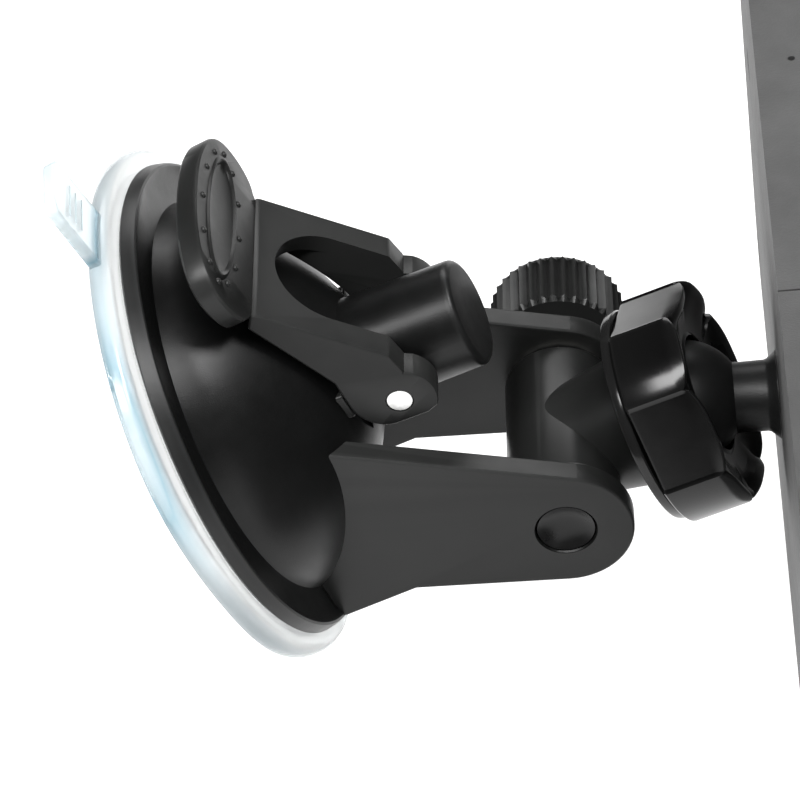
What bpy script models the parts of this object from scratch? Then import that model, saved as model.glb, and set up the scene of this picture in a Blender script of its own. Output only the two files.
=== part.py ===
"""Dash camera with a wide display on a suction-cup windscreen mount.

Frame: the origin is the centre of the suction pad's sealing face. +X points
away from the glass, +Z is the side of the locking lever, and Y runs along the
clevis axis of the mount and the width of the camera. Lengths are in metres.
"""
import math

import bmesh
import bpy
from mathutils import Matrix, Vector

MM = 0.001
GAP = 0.3 * MM                      # clearance between pieces that touch

# Suction pad: a clear disc with a pull tab.
PAD_RADIUS = 37.5 * MM
PAD_EDGE = 3.3 * MM
PAD_FILM = 0.8 * MM
PAD_SEAT_RADIUS = 28.5 * MM
PAD_FILM_RADIUS = 22.0 * MM
TAB_ANGLE = math.radians(97.5)
TAB_WIDTH = 9.6 * MM
TAB_REACH = 49.3 * MM
TAB_THICKNESS = 1.6 * MM
TAB_SLOT_LENGTH = 5.6 * MM
TAB_SLOT_WIDTH = 0.8 * MM
TAB_SLOT_PITCH = 1.55 * MM
TAB_SLOT_START = 41.6 * MM

# Cup housing: rim, dome, tube, clevis arms.
RIM_X = PAD_EDGE + GAP
RIM_RADIUS = 34.0 * MM
RIM_HEIGHT = 2.2 * MM
RIM_WALL = 2.8 * MM
DOME_BASE_RADIUS = 27.6 * MM
DOME_HEIGHT = 19.0 * MM
DOME_WALL = 2.4 * MM
TUBE_RADIUS = 7.7 * MM
TUBE_END_X = RIM_X + 35.5 * MM
TUBE_ROUND = 0.9 * MM

# Pull rod, its rubber boss and the locking lever.
LOCK_LIFT = 3.0 * MM
ROD_RADIUS = 3.0 * MM
ROD_FOOT_RADIUS = 6.0 * MM
ROD_FOOT_HEIGHT = 1.7 * MM
BOSS_RADIUS = 11.5 * MM
BOSS_HEIGHT = 6.4 * MM
PIN_X = RIM_X + 24.5 * MM
PIN_Z = -0.5 * MM
PIN_RADIUS = 1.8 * MM
LEVER_HALF_WIDTH = 12.4 * MM
LEVER_SLOT_RADIUS = 8.3 * MM
LEVER_PLATE = 2.6 * MM
CAM_LOCKED = 6.5 * MM
CAM_FREE = CAM_LOCKED - LOCK_LIFT
CAM_STEPS = 10
EAR_RADIUS = 4.9 * MM
EAR_STEP = 0.2 * MM
EAR_DROP = 3.4 * MM
SEAT_LOW = -1.2 * MM
SEAT_HIGH = 3.2 * MM
SEAT_INSET = 0.6 * MM               # seat edge inside the lever's side
SEAT_ROOT_X = RIM_X + 8.0 * MM
DOME_CLEARANCE = 0.5 * MM
CREASE = Vector((RIM_X + 13.6 * MM, 21.7 * MM))
PLATE_END = Vector((RIM_X + 26.7 * MM, 7.2 * MM))
THUMB_HALF_WIDTH = 16.0 * MM
THUMB_HEIGHT = 13.7 * MM
THUMB_SHOULDER = 6.0 * MM
THUMB_THICKNESS = 3.2 * MM
THUMB_TILT = math.radians(5.0)
THUMB_STEPS = 14
THUMB_FULLNESS = 0.85               # 1 is an ellipse, less is squarer

# Clevis: arms, bolt, knob and the barrel between the arms.
CLEVIS_X = RIM_X + 36.2 * MM
CLEVIS_Z = -27.7 * MM
ARM_INNER = 13.6 * MM
ARM_THICKNESS = 3.5 * MM
ARM_OUTER = ARM_INNER + ARM_THICKNESS
ARM_END_RADIUS = 9.3 * MM
ARM_TOP_SLOPE = math.radians(-33.7)
ARM_BOTTOM_SLOPE = math.radians(-21.7)
ARM_ROOT = Vector((RIM_X + 1.6 * MM, -29.0 * MM))
ARM_KINK_X = RIM_X + 13.2 * MM
BOLT_RADIUS = 2.5 * MM
BOLT_HEAD_RADIUS = 3.95 * MM
BOLT_HEAD_HEIGHT = 0.8 * MM
BOLT_HEAD_EDGE = 0.3 * MM
BOLT_REACH = ARM_OUTER + 8.9 * MM
RECESS_DEPTH = 1.9 * MM
WASHER_THICKNESS = 0.8 * MM
WASHER_RADIUS = 6.6 * MM
KNOB_HUB_RADIUS = 6.2 * MM
KNOB_HUB_HEIGHT = 3.2 * MM
KNOB_RADIUS = 9.5 * MM
KNOB_TOOTH = 0.7 * MM
KNOB_HEIGHT = 9.8 * MM
KNOB_TEETH = 36
KNOB_INSERT_WALL = 1.6 * MM
BARREL_RADIUS = 7.75 * MM
NECK_START = 0.5 * MM                # the cone leaves the barrel here
NECK_SLOPE = 0.165

# Ball joint: socket on the neck, lobed locking nut, ball and stem.
BALL_RADIUS = 8.5 * MM
BALL_REACH = BALL_RADIUS + 9.8 * MM
COLLET_RADIUS = BALL_RADIUS + 2.1 * MM
COLLET_FRONT = 2.5 * MM
NUT_BACK = -6.0 * MM
NUT_FRONT = 4.0 * MM                # lip nearest the ball's stem
NUT_RIM_FRONT = 5.6 * MM            # outer edge of the hollow front
NUT_RIM_RADIUS = BALL_RADIUS + 4.0 * MM
NUT_RADIUS = BALL_RADIUS + 7.5 * MM
NUT_FLANGE_RADIUS = BALL_RADIUS + 6.5 * MM
NUT_FLANGE = 1.7 * MM
NUT_LOBES = 4
NUT_LOBE_SPAN = math.radians(43.0)
NUT_LOBE_START = math.radians(93.0)
STEM_RADIUS = 4.9 * MM
STEM_FOOT_RADIUS = 6.1 * MM
STEM_FOOT_START = BALL_RADIUS + 3.0 * MM
STEM_LENGTH = BALL_RADIUS + 4.5 * MM
STUD_RADIUS = 2.0 * MM
STUD_LENGTH = 5.2 * MM
CORE_RADIUS = 2.2 * MM
DEVICE_TILT = math.radians(20.2)

# Camera: a slab with a display; its own frame has X through the thickness.
BODY_WIDTH = 180.0 * MM
BODY_HEIGHT = 100.0 * MM
BODY_DEPTH = 15.0 * MM
BODY_CORNER = 9.0 * MM
COVER_DEPTH = 11.0 * MM
WALL = 1.8 * MM
BEZEL = 6.0 * MM                    # width of the frame round the glass
SCREEN_WIDTH = BODY_WIDTH - 2 * BEZEL
SCREEN_HEIGHT = BODY_HEIGHT - 2 * BEZEL
GLASS_THICKNESS = 1.1 * MM
LCD_WIDTH = SCREEN_WIDTH - 6.0 * MM
LCD_HEIGHT = SCREEN_HEIGHT - 4.0 * MM
LCD_THICKNESS = 2.0 * MM
BOARD_THICKNESS = 1.4 * MM
BOARD_X = 3.6 * MM                  # back of the connectors on the main board
INSERT_RADIUS = 3.4 * MM
BOSS_WALL = 1.8 * MM
SCREW_RADIUS = 1.1 * MM
SCREW_HEAD_RADIUS = 2.2 * MM
SCREW_HEAD_HEIGHT = 1.1 * MM
SCREW_LENGTH = 8.0 * MM
SCREW_INSET = 8.5 * MM
LENS_Y = BODY_WIDTH / 2 - 15.0 * MM
DRUM_RADIUS = 9.0 * MM
DRUM_X = COVER_DEPTH - DRUM_RADIUS
LENS_Z = BODY_HEIGHT / 2 - DRUM_RADIUS - 8.0 * MM
DRUM_HALF_LENGTH = 9.0 * MM
LENS_RADIUS = 5.5 * MM
LENS_PROUD = 1.5 * MM
POD_RIM = 2.0 * MM
POD_PROUD = 1.5 * MM
DOOR_END = 8.0 * MM - BODY_WIDTH / 2
DOOR_START = DOOR_END + 44.8 * MM
DOOR_DEPTH = 9.0 * MM
DOOR_THICKNESS = 1.6 * MM
PORT_TOP = BODY_HEIGHT / 2 - DOOR_THICKNESS - 3.3 * GAP
PORT_LENGTH = 8.0 * MM
PORT_THICKNESS = 3.6 * MM
PORT_WALL = 0.9 * MM
PORTS = {"usb_port": (DOOR_END + 36.0 * MM, 9.0 * MM),
         "audio_jack": (DOOR_END + 24.0 * MM, 6.4 * MM),
         "card_reader": (DOOR_END + 11.0 * MM, 13.0 * MM)}
CARD_THICKNESS = 0.7 * MM
CARD_LENGTH = 5.6 * MM
BUTTON_LENGTH = 9.0 * MM
BUTTON_WIDTH = 3.0 * MM
BUTTON_PROUD = 0.9 * MM
BUTTON_X = 7.5 * MM
BUTTON_PLACES = {"power_button": 40.0 * MM, "menu_button": 54.0 * MM,
                 "lock_button": 68.0 * MM}
SPEAKER_RADIUS = 11.0 * MM
SPEAKER_Y = -58.0 * MM
SPEAKER_Z = 30.0 * MM - BODY_HEIGHT / 2
BATTERY_LOW = 8.0 * MM - BODY_HEIGHT / 2
BATTERY_HEIGHT = 36.0 * MM
BATTERY_START = 14.0 * MM
BATTERY_END = 52.0 * MM
BOARD_LOW = 20.0 * MM - BODY_HEIGHT / 2
BOARD_HIGH = BODY_HEIGHT / 2 - 3.4 * MM
BOARD_START = DOOR_END + 4.0 * MM
BOARD_END = 54.0 * MM
MIC_Y = 9.5 * MM
MIC_X = 4.8 * MM
PIN_HOLE = 0.5 * MM

ROUND = 40                          # facets of a large turned piece
SMALL = 16                          # facets of a small turned piece


def look(name, colour, roughness, metallic=0.0):
    """A plain Principled material."""
    material = bpy.data.materials.new(name)
    material.use_nodes = True
    shader = material.node_tree.nodes["Principled BSDF"]
    shader.inputs["Base Color"].default_value = (*colour, 1.0)
    shader.inputs["Roughness"].default_value = roughness
    shader.inputs["Metallic"].default_value = metallic
    material.diffuse_color = (*colour, 1.0)
    return material


def arc(centre, radius, start, end, count):
    """Points on an arc, both ends included; angles in radians."""
    points = []
    for step in range(count + 1):
        angle = start + (end - start) * step / count
        points.append((centre[0] + radius * math.cos(angle),
                       centre[1] + radius * math.sin(angle)))
    return points


def bow(first, control, last, count):
    """Points on a quadratic curve, both ends included."""
    points = []
    for step in range(count + 1):
        t = step / count
        points.append(tuple((1 - t) ** 2 * a + 2 * t * (1 - t) * b + t * t * c
                            for a, b, c in zip(first, control, last)))
    return points


def turned(profile, steps=ROUND):
    """Body turned about local X from a loop of (along, radius) points."""
    bm = bmesh.new()
    rings = []
    for along, radius in profile:
        if radius < 1e-9:
            rings.append([bm.verts.new((along, 0.0, 0.0))])
            continue
        ring = []
        for step in range(steps):
            angle = 2 * math.pi * step / steps
            ring.append(bm.verts.new((along, radius * math.cos(angle),
                                      radius * math.sin(angle))))
        rings.append(ring)
    pairs = list(zip(rings, rings[1:]))
    if len(rings[0]) > 1:
        pairs.append((rings[-1], rings[0]))
    for one, two in pairs:
        for step in range(steps):
            after = (step + 1) % steps
            if len(one) == 1:
                corners = (one[0], two[after], two[step])
            elif len(two) == 1:
                corners = (one[step], one[after], two[0])
            else:
                corners = (one[step], one[after], two[after], two[step])
            bm.faces.new(corners)
    return bm


def prism(outline, low, high, axis="Y"):
    """Outline extruded along an axis: (x, z) for Y, (y, z) for X, (x, y) for Z."""
    bm = bmesh.new()
    sides = []
    for level in (low, high):
        side = []
        for a, b in outline:
            place = {"X": (level, a, b), "Y": (a, level, b), "Z": (a, b, level)}[axis]
            side.append(bm.verts.new(place))
        sides.append(side)
    bm.faces.new(sides[0])
    bm.faces.new(list(reversed(sides[1])))
    count = len(outline)
    for step in range(count):
        after = (step + 1) % count
        bm.faces.new((sides[0][step], sides[0][after], sides[1][after], sides[1][step]))
    return bm


def block(low, high):
    """Box between two corners."""
    outline = [(low[0], low[1]), (high[0], low[1]), (high[0], high[1]), (low[0], high[1])]
    return prism(outline, low[2], high[2], "Z")


def rounded(half_width, half_height, radius, count=6, centre=(0.0, 0.0)):
    """Rounded rectangle outline."""
    points = []
    corners = ((1, 1, 0.0), (-1, 1, 0.5), (-1, -1, 1.0), (1, -1, 1.5))
    for sign_y, sign_z, start in corners:
        middle = (centre[0] + sign_y * (half_width - radius),
                  centre[1] + sign_z * (half_height - radius))
        points += arc(middle, radius, start * math.pi, (start + 0.5) * math.pi, count)
    return points


def along_y(bm, place=(0.0, 0.0, 0.0)):
    """Turn a body made about X so that it lies along Y, then move it."""
    turn = Matrix.Translation(Vector(place)) @ Matrix.Rotation(math.pi / 2, 4, "Z")
    bmesh.ops.transform(bm, matrix=turn, verts=bm.verts)
    return bm


def moved(bm, place):
    """Move a body."""
    bmesh.ops.translate(bm, verts=bm.verts, vec=Vector(place))
    return bm


def to_mesh(name, bm):
    """Mesh with its faces pointing out."""
    bmesh.ops.recalc_face_normals(bm, faces=bm.faces)
    mesh = bpy.data.meshes.new(name)
    bm.to_mesh(mesh)
    bm.free()
    return mesh


def solid(name, bm, material, pivot=(0.0, 0.0, 0.0), parent=None):
    """Named piece with its origin at the pivot, in its parent's frame."""
    moved(bm, -Vector(pivot))
    mesh = to_mesh(name, bm)
    mesh.materials.append(material)
    piece = bpy.data.objects.new(name, mesh)
    bpy.context.scene.collection.objects.link(piece)
    piece.location = pivot
    piece.parent = parent
    bpy.context.view_layer.update()
    return piece


def combine(piece, bm, operation):
    """Boolean of a piece with a body given in the piece's parent frame."""
    moved(bm, -piece.location)
    tool = bpy.data.objects.new("tool", to_mesh("tool", bm))
    bpy.context.scene.collection.objects.link(tool)
    tool.matrix_world = piece.matrix_world
    change = piece.modifiers.new("change", "BOOLEAN")
    change.operation = operation
    change.solver = "EXACT"
    change.object = tool
    bpy.context.view_layer.update()
    graph = bpy.context.evaluated_depsgraph_get()
    result = bpy.data.meshes.new_from_object(piece.evaluated_get(graph))
    piece.modifiers.clear()
    old = piece.data
    piece.data = result
    bpy.data.meshes.remove(old)
    bpy.data.objects.remove(tool)
    return piece


def cut(piece, bm):
    """Take a body away from a piece."""
    return combine(piece, bm, "DIFFERENCE")


def fuse(piece, bm):
    """Add a body to a piece."""
    return combine(piece, bm, "UNION")


def shade(piece, degrees=30.0):
    """Smooth shading with sharp edges kept."""
    piece.data.shade_smooth()
    piece.data.set_sharp_from_angle(angle=math.radians(degrees))


def empty(name, place, tilt=0.0, parent=None):
    """Empty that carries the pieces of one moving group."""
    holder = bpy.data.objects.new(name, None)
    bpy.context.scene.collection.objects.link(holder)
    holder.location = place
    holder.rotation_euler = (0.0, tilt, 0.0)
    holder.parent = parent
    bpy.context.view_layer.update()
    return holder


def make_suction_pad(clear):
    """Clear pad: thick edge, thin film in the middle, pull tab with slots."""
    profile = [(0.0, 0.0), (0.0, PAD_RADIUS - 0.9 * MM), (0.9 * MM, PAD_RADIUS),
               (PAD_EDGE - 0.8 * MM, PAD_RADIUS), (PAD_EDGE, PAD_RADIUS - 0.7 * MM),
               (PAD_EDGE, PAD_SEAT_RADIUS), (PAD_FILM, PAD_FILM_RADIUS), (PAD_FILM, 0.0)]
    pad = solid("suction_pad", turned(profile), clear)
    low = (PAD_EDGE - TAB_THICKNESS) / 2
    half = TAB_WIDTH / 2
    root = PAD_RADIUS - 2 * MM
    tip = arc((TAB_REACH - half * 0.6, 0.0), half, -0.5 * math.pi, 0.5 * math.pi, 8)
    tip = [(min(r, TAB_REACH), y) for r, y in tip]
    turn = Matrix.Rotation(TAB_ANGLE, 4, "X")
    tab = prism([(root, -half)] + tip + [(root, half)], low, low + TAB_THICKNESS, "X")
    bmesh.ops.transform(tab, matrix=turn, verts=tab.verts)
    fuse(pad, tab)
    for step in range(3):
        start = TAB_SLOT_START + step * TAB_SLOT_PITCH
        slot = block((low - MM, start, -TAB_SLOT_LENGTH / 2),
                     (PAD_EDGE, start + TAB_SLOT_WIDTH, TAB_SLOT_LENGTH / 2))
        bmesh.ops.transform(slot, matrix=turn, verts=slot.verts)
        cut(pad, slot)
    shade(pad)


def arm_outline():
    """Side outline of a clevis arm, in (x, z)."""
    centre = (CLEVIS_X, CLEVIS_Z)
    top = ARM_TOP_SLOPE + math.pi / 2
    bottom = ARM_BOTTOM_SLOPE - math.pi / 2
    points = arc(centre, ARM_END_RADIUS, bottom, top, 14)
    top_x, top_z = points[-1]
    root_x = RIM_X + 4.0 * MM
    points.append((root_x, top_z + (root_x - top_x) * math.tan(ARM_TOP_SLOPE)))
    points.append((ARM_ROOT.x, 0.0))
    points.append(tuple(ARM_ROOT))
    low_x, low_z = points[0]
    kink_z = low_z + (ARM_KINK_X - low_x) * math.tan(ARM_BOTTOM_SLOPE)
    points.append((ARM_KINK_X, kink_z))
    return points


def dome_curve(offset):
    """Outer curve of the dome, moved outward by an offset, in (x, radius)."""
    return bow((RIM_X + 2.9 * MM, DOME_BASE_RADIUS + offset),
               (RIM_X + 10.2 * MM + offset, 24.3 * MM + offset),
               (RIM_X + DOME_HEIGHT + offset, TUBE_RADIUS), 8)


def make_housing(black):
    """One moulding: rim, dome, tube, lever seats and the two clevis arms."""
    profile = [(RIM_X, 0.0), (RIM_X, RIM_RADIUS - 0.3 * MM), (RIM_X + 0.3 * MM, RIM_RADIUS),
               (RIM_X + RIM_HEIGHT - 0.4 * MM, RIM_RADIUS - 0.4 * MM),
               (RIM_X + RIM_HEIGHT, RIM_RADIUS - 0.9 * MM),
               (RIM_X + RIM_HEIGHT, DOME_BASE_RADIUS + 0.8 * MM)]
    profile += dome_curve(0.0)
    profile += [(TUBE_END_X - TUBE_ROUND, TUBE_RADIUS - 0.2 * MM),
                (TUBE_END_X, TUBE_RADIUS - 0.2 * MM - TUBE_ROUND), (TUBE_END_X, 0.0)]
    housing = solid("cup_housing", turned(profile), black)
    for side in (-1, 1):
        inner = side * ARM_INNER
        outer = side * ARM_OUTER
        fuse(housing, prism(arm_outline(), min(inner, outer), max(inner, outer)))
        seat_top = PIN_X - CAM_LOCKED - GAP
        clear_inner = side * (LEVER_SLOT_RADIUS - GAP)
        clear_outer = side * (LEVER_HALF_WIDTH + 2 * GAP)
        cut(housing, block((seat_top - 0.2 * MM, min(clear_inner, clear_outer), -8.0 * MM),
                           (PIN_X, max(clear_inner, clear_outer), 9.0 * MM)))
        seat_inner = side * (TUBE_RADIUS - MM)
        seat_outer = side * (LEVER_HALF_WIDTH - SEAT_INSET)
        fuse(housing, block((SEAT_ROOT_X, min(seat_inner, seat_outer), SEAT_LOW),
                            (seat_top, max(seat_inner, seat_outer), SEAT_HIGH)))
    inside = bow((RIM_X + 1.5 * MM, DOME_BASE_RADIUS - DOME_WALL),
                 (RIM_X + 8.6 * MM, 21.6 * MM), (RIM_X + 13.0 * MM, 8.0 * MM), 6)
    seat_radius = RIM_RADIUS - RIM_WALL
    hollow = [(RIM_X - MM, 0.0), (RIM_X - MM, seat_radius), (RIM_X + MM, seat_radius)]
    hollow += inside + [(RIM_X + 13.0 * MM, 0.0)]
    cut(housing, turned(hollow, 36))
    bore = ROD_RADIUS + GAP
    cut(housing, turned([(RIM_X + 10.0 * MM, 0.0), (RIM_X + 10.0 * MM, bore),
                         (TUBE_END_X - 4.0 * MM, bore), (TUBE_END_X - 4.0 * MM, 0.0)], SMALL))
    half = PIN_RADIUS + GAP
    cut(housing, block((PIN_X - LOCK_LIFT - half, -ARM_INNER + MM, PIN_Z - half),
                       (PIN_X + half, ARM_INNER - MM, PIN_Z + half)))
    hole = BOLT_RADIUS + GAP
    cut(housing, along_y(turned([(-ARM_OUTER - MM, 0.0), (-ARM_OUTER - MM, hole),
                                 (ARM_OUTER + MM, hole), (ARM_OUTER + MM, 0.0)], SMALL),
                         (CLEVIS_X, 0.0, CLEVIS_Z)))
    recess = BOLT_HEAD_RADIUS + GAP
    cut(housing, along_y(turned([(-ARM_OUTER - MM, 0.0), (-ARM_OUTER - MM, recess),
                                 (-ARM_OUTER + RECESS_DEPTH, recess),
                                 (-ARM_OUTER + RECESS_DEPTH, 0.0)], SMALL),
                         (CLEVIS_X, 0.0, CLEVIS_Z)))
    shade(housing)


def make_pull_rod(black, rubber, steel):
    """Rod that lifts the pad, the rubber boss round its foot, and its pin."""
    boss_low = PAD_FILM + GAP + LOCK_LIFT
    foot_low = boss_low + 1.9 * MM
    foot_high = foot_low + ROD_FOOT_HEIGHT
    rod_end = PIN_X + 4.0 * MM
    pivot = (PIN_X, 0.0, PIN_Z)
    boss = [(boss_low, 0.0), (boss_low, BOSS_RADIUS), (boss_low + 2.4 * MM, BOSS_RADIUS),
            (boss_low + BOSS_HEIGHT, 7.4 * MM), (boss_low + BOSS_HEIGHT, ROD_RADIUS + GAP),
            (foot_high + GAP, ROD_RADIUS + GAP), (foot_high + GAP, ROD_FOOT_RADIUS + GAP),
            (foot_low - GAP, ROD_FOOT_RADIUS + GAP), (foot_low - GAP, 0.0)]
    shade(solid("pad_boss", turned(boss, 32), rubber, pivot))
    rod = solid("pull_rod", turned([(foot_low, 0.0), (foot_low, ROD_FOOT_RADIUS),
                                    (foot_high, ROD_FOOT_RADIUS), (foot_high, ROD_RADIUS),
                                    (rod_end, ROD_RADIUS), (rod_end, 0.0)], SMALL),
                black, pivot)
    hole = PIN_RADIUS + GAP
    cut(rod, along_y(turned([(-2 * ROD_RADIUS, 0.0), (-2 * ROD_RADIUS, hole),
                             (2 * ROD_RADIUS, hole), (2 * ROD_RADIUS, 0.0)], SMALL),
                     (PIN_X, 0.0, PIN_Z)))
    shade(rod)
    end = LEVER_HALF_WIDTH - 0.2 * MM
    pin = [(-end, 0.0), (-end, PIN_RADIUS - GAP), (-end + GAP, PIN_RADIUS),
           (end - GAP, PIN_RADIUS), (end, PIN_RADIUS - GAP), (end, 0.0)]
    shade(solid("lever_pin", along_y(turned(pin, SMALL), pivot), steel, pivot))


def cam_outline():
    """Side outline of the lever, with its cam, in (x, z).

    The cam lowers the pin by the same amount for each degree, so its outline is
    the envelope of a flat seat whose distance from the pin shrinks steadily.
    """
    points = [tuple(CREASE), tuple(PLATE_END),
              (PLATE_END.x + EAR_STEP, PLATE_END.y - EAR_DROP),
              (PIN_X + EAR_RADIUS * 0.74, PLATE_END.y - EAR_DROP - 0.4 * MM)]
    points += arc((PIN_X + 0.3 * MM, PIN_Z), EAR_RADIUS, math.radians(42), math.radians(-36), 6)
    points.append((PIN_X + EAR_RADIUS * 0.53, PIN_Z - CAM_FREE))
    rate = LOCK_LIFT / (math.pi / 2)
    for step in range(CAM_STEPS + 1):
        turn = math.pi / 2 * (1 - step / CAM_STEPS)
        reach = CAM_LOCKED - rate * turn
        points.append((PIN_X - reach * math.cos(turn) - rate * math.sin(turn),
                       PIN_Z - reach * math.sin(turn) + rate * math.cos(turn)))
    points.append((PIN_X - CAM_LOCKED, 6.0 * MM))
    points.append((CREASE.x - 1.5 * MM, CREASE.y - LEVER_PLATE * 0.8))
    return points


def thumb_outline():
    """Front outline of the thumb pad, in (y, height above the crease)."""
    flare = THUMB_HALF_WIDTH - LEVER_HALF_WIDTH
    rise = THUMB_HEIGHT - THUMB_SHOULDER
    side = []
    for step in range(1, 4):
        angle = math.pi / 2 * step / 4
        side.append((LEVER_HALF_WIDTH + flare * math.sin(angle),
                     THUMB_SHOULDER * (1 - math.cos(angle))))
    top = []
    for step in range(THUMB_STEPS + 1):
        angle = math.pi * step / THUMB_STEPS
        across = math.copysign(abs(math.cos(angle)) ** THUMB_FULLNESS, math.cos(angle))
        top.append((THUMB_HALF_WIDTH * across,
                    THUMB_SHOULDER + rise * math.sin(angle) ** THUMB_FULLNESS))
    other = [(-y, height) for y, height in reversed(side)]
    return [(LEVER_HALF_WIDTH, -MM)] + side + top + other + [(-LEVER_HALF_WIDTH, -MM)]


def make_lever(black):
    """Locking lever: two cam ears, a plate between them and a thumb pad."""
    pivot = (PIN_X, 0.0, PIN_Z)
    lever = solid("suction_lever", prism(cam_outline(), -LEVER_HALF_WIDTH, LEVER_HALF_WIDTH),
                  black, pivot)
    run = (PLATE_END - CREASE).normalized()
    normal = Vector((-run.y, run.x))
    if normal.x < 0:
        normal.negate()
    inner_start = CREASE - normal * LEVER_PLATE - run * 3 * MM
    inner_end = PLATE_END - normal * LEVER_PLATE + run * 22 * MM
    depth = normal * 30 * MM
    pocket = [tuple(inner_start), tuple(inner_end), tuple(inner_end - depth),
              tuple(inner_start - depth)]
    cut(lever, prism(pocket, -LEVER_SLOT_RADIUS, LEVER_SLOT_RADIUS))
    slot = arc((11.5 * MM, 0.0), LEVER_SLOT_RADIUS, 0.5 * math.pi, 1.5 * math.pi, 12)
    slot += [(45 * MM, -LEVER_SLOT_RADIUS), (45 * MM, LEVER_SLOT_RADIUS)]
    window = prism(slot, -6 * MM, 14 * MM, "Z")
    turn = Matrix(((run.x, 0.0, normal.x, CREASE.x), (0.0, 1.0, 0.0, 0.0),
                   (run.y, 0.0, normal.y, CREASE.y), (0.0, 0.0, 0.0, 1.0)))
    bmesh.ops.transform(window, matrix=turn, verts=window.verts)
    cut(lever, window)
    pad = prism(thumb_outline(), -THUMB_THICKNESS, 0.0, "X")
    lean = Matrix.Translation((CREASE.x, 0.0, CREASE.y)) @ Matrix.Rotation(-THUMB_TILT, 4, "Y")
    bmesh.ops.transform(pad, matrix=lean, verts=pad.verts)
    fuse(lever, pad)
    room = [(RIM_X, 0.0), (RIM_X, DOME_BASE_RADIUS)] + dome_curve(DOME_CLEARANCE)
    room.append((room[-1][0], 0.0))
    cut(lever, turned(room))
    hole = PIN_RADIUS + GAP
    reach = LEVER_HALF_WIDTH + MM
    cut(lever, along_y(turned([(-reach, 0.0), (-reach, hole), (reach, hole), (reach, 0.0)],
                              SMALL), pivot))
    shade(lever)


def make_clevis(black, nylon, steel, brass):
    """Bolt, washers and knurled knob on the clevis axis."""
    axis = (CLEVIS_X, 0.0, CLEVIS_Z)
    head = -ARM_OUTER + RECESS_DEPTH - GAP
    top = head - BOLT_HEAD_HEIGHT
    bolt = [(top, 0.0), (top, BOLT_HEAD_RADIUS - BOLT_HEAD_EDGE),
            (top + BOLT_HEAD_EDGE, BOLT_HEAD_RADIUS), (head, BOLT_HEAD_RADIUS),
            (head, BOLT_RADIUS), (BOLT_REACH, BOLT_RADIUS), (BOLT_REACH, 0.0)]
    shade(solid("clevis_bolt", along_y(turned(bolt, SMALL), axis), steel, axis))
    hole = BOLT_RADIUS + GAP
    for side, name in ((-1, "near_washer"), (1, "far_washer")):
        outer = side * (ARM_INNER - GAP)
        inner = side * (ARM_INNER - GAP - WASHER_THICKNESS)
        ring = [(inner, hole), (inner, WASHER_RADIUS), (outer, WASHER_RADIUS), (outer, hole)]
        shade(solid(name, along_y(turned(ring, SMALL), axis), nylon, axis))
    start = ARM_OUTER + GAP
    teeth_start = start + KNOB_HUB_HEIGHT
    teeth_end = teeth_start + KNOB_HEIGHT
    outline = []
    for step in range(2 * KNOB_TEETH):
        angle = math.pi * step / KNOB_TEETH
        radius = KNOB_RADIUS - (KNOB_TOOTH if step % 2 else 0.0)
        outline.append((CLEVIS_X + radius * math.cos(angle),
                        CLEVIS_Z + radius * math.sin(angle)))
    knob = solid("clevis_knob", prism(outline, teeth_start, teeth_end), black, axis)
    fuse(knob, along_y(turned([(start, 0.0), (start, KNOB_HUB_RADIUS),
                               (teeth_start + MM, KNOB_HUB_RADIUS), (teeth_start + MM, 0.0)],
                              SMALL), axis))
    nut_radius = BOLT_RADIUS + KNOB_INSERT_WALL
    cut(knob, along_y(turned([(start - MM, 0.0), (start - MM, nut_radius + GAP),
                              (teeth_end - 2 * MM, nut_radius + GAP), (teeth_end - 2 * MM, 0.0)],
                             SMALL), axis))
    shade(knob)
    insert = [(start, hole), (start, nut_radius), (BOLT_REACH - MM, nut_radius),
              (BOLT_REACH - MM, hole)]
    shade(solid("knob_insert", along_y(turned(insert, SMALL), axis), brass, axis))


def make_neck(black):
    """Barrel between the arms, cone, and the slotted collet round the ball."""
    axis = (CLEVIS_X, 0.0, CLEVIS_Z)
    half = ARM_INNER - 2 * GAP - WASHER_THICKNESS
    barrel = [(-half, 0.0), (-half, BARREL_RADIUS - GAP), (-half + GAP, BARREL_RADIUS),
              (half - GAP, BARREL_RADIUS), (half, BARREL_RADIUS - GAP), (half, 0.0)]
    neck = solid("swivel_neck", along_y(turned(barrel, 28), axis), black, axis)
    cone_end = BALL_REACH + NUT_BACK + GAP
    radius_start = BARREL_RADIUS - 0.2 * MM + NECK_SLOPE * NECK_START
    radius_end = BARREL_RADIUS - 0.2 * MM + NECK_SLOPE * cone_end
    front = BALL_REACH + COLLET_FRONT
    cone = [(NECK_START, 0.0), (NECK_START, radius_start), (cone_end, radius_end),
            (cone_end + MM, COLLET_RADIUS), (front - MM, COLLET_RADIUS),
            (front, COLLET_RADIUS - MM), (front, 0.0)]
    fuse(neck, moved(turned(cone, 28), axis))
    socket = arc((BALL_REACH, 0.0), BALL_RADIUS + GAP, math.pi, math.radians(60), 8)
    socket.append((front + 2 * MM, socket[-1][1]))
    socket.append((front + 2 * MM, 0.0))
    cut(neck, moved(turned(socket, 28), axis))
    slot_half = 0.6 * MM
    slot_start = BALL_REACH - 4.0 * MM
    for step in range(2):
        slot = block((slot_start, -2 * COLLET_RADIUS, -slot_half),
                     (front + MM, 2 * COLLET_RADIUS, slot_half))
        turn = Matrix.Rotation(math.radians(45 + 90 * step), 4, "X")
        bmesh.ops.transform(slot, matrix=turn, verts=slot.verts)
        cut(neck, moved(slot, axis))
    hole = BOLT_RADIUS + GAP
    cut(neck, along_y(turned([(-ARM_INNER, 0.0), (-ARM_INNER, hole), (ARM_INNER, hole),
                              (ARM_INNER, 0.0)], SMALL), axis))
    shade(neck)


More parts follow.
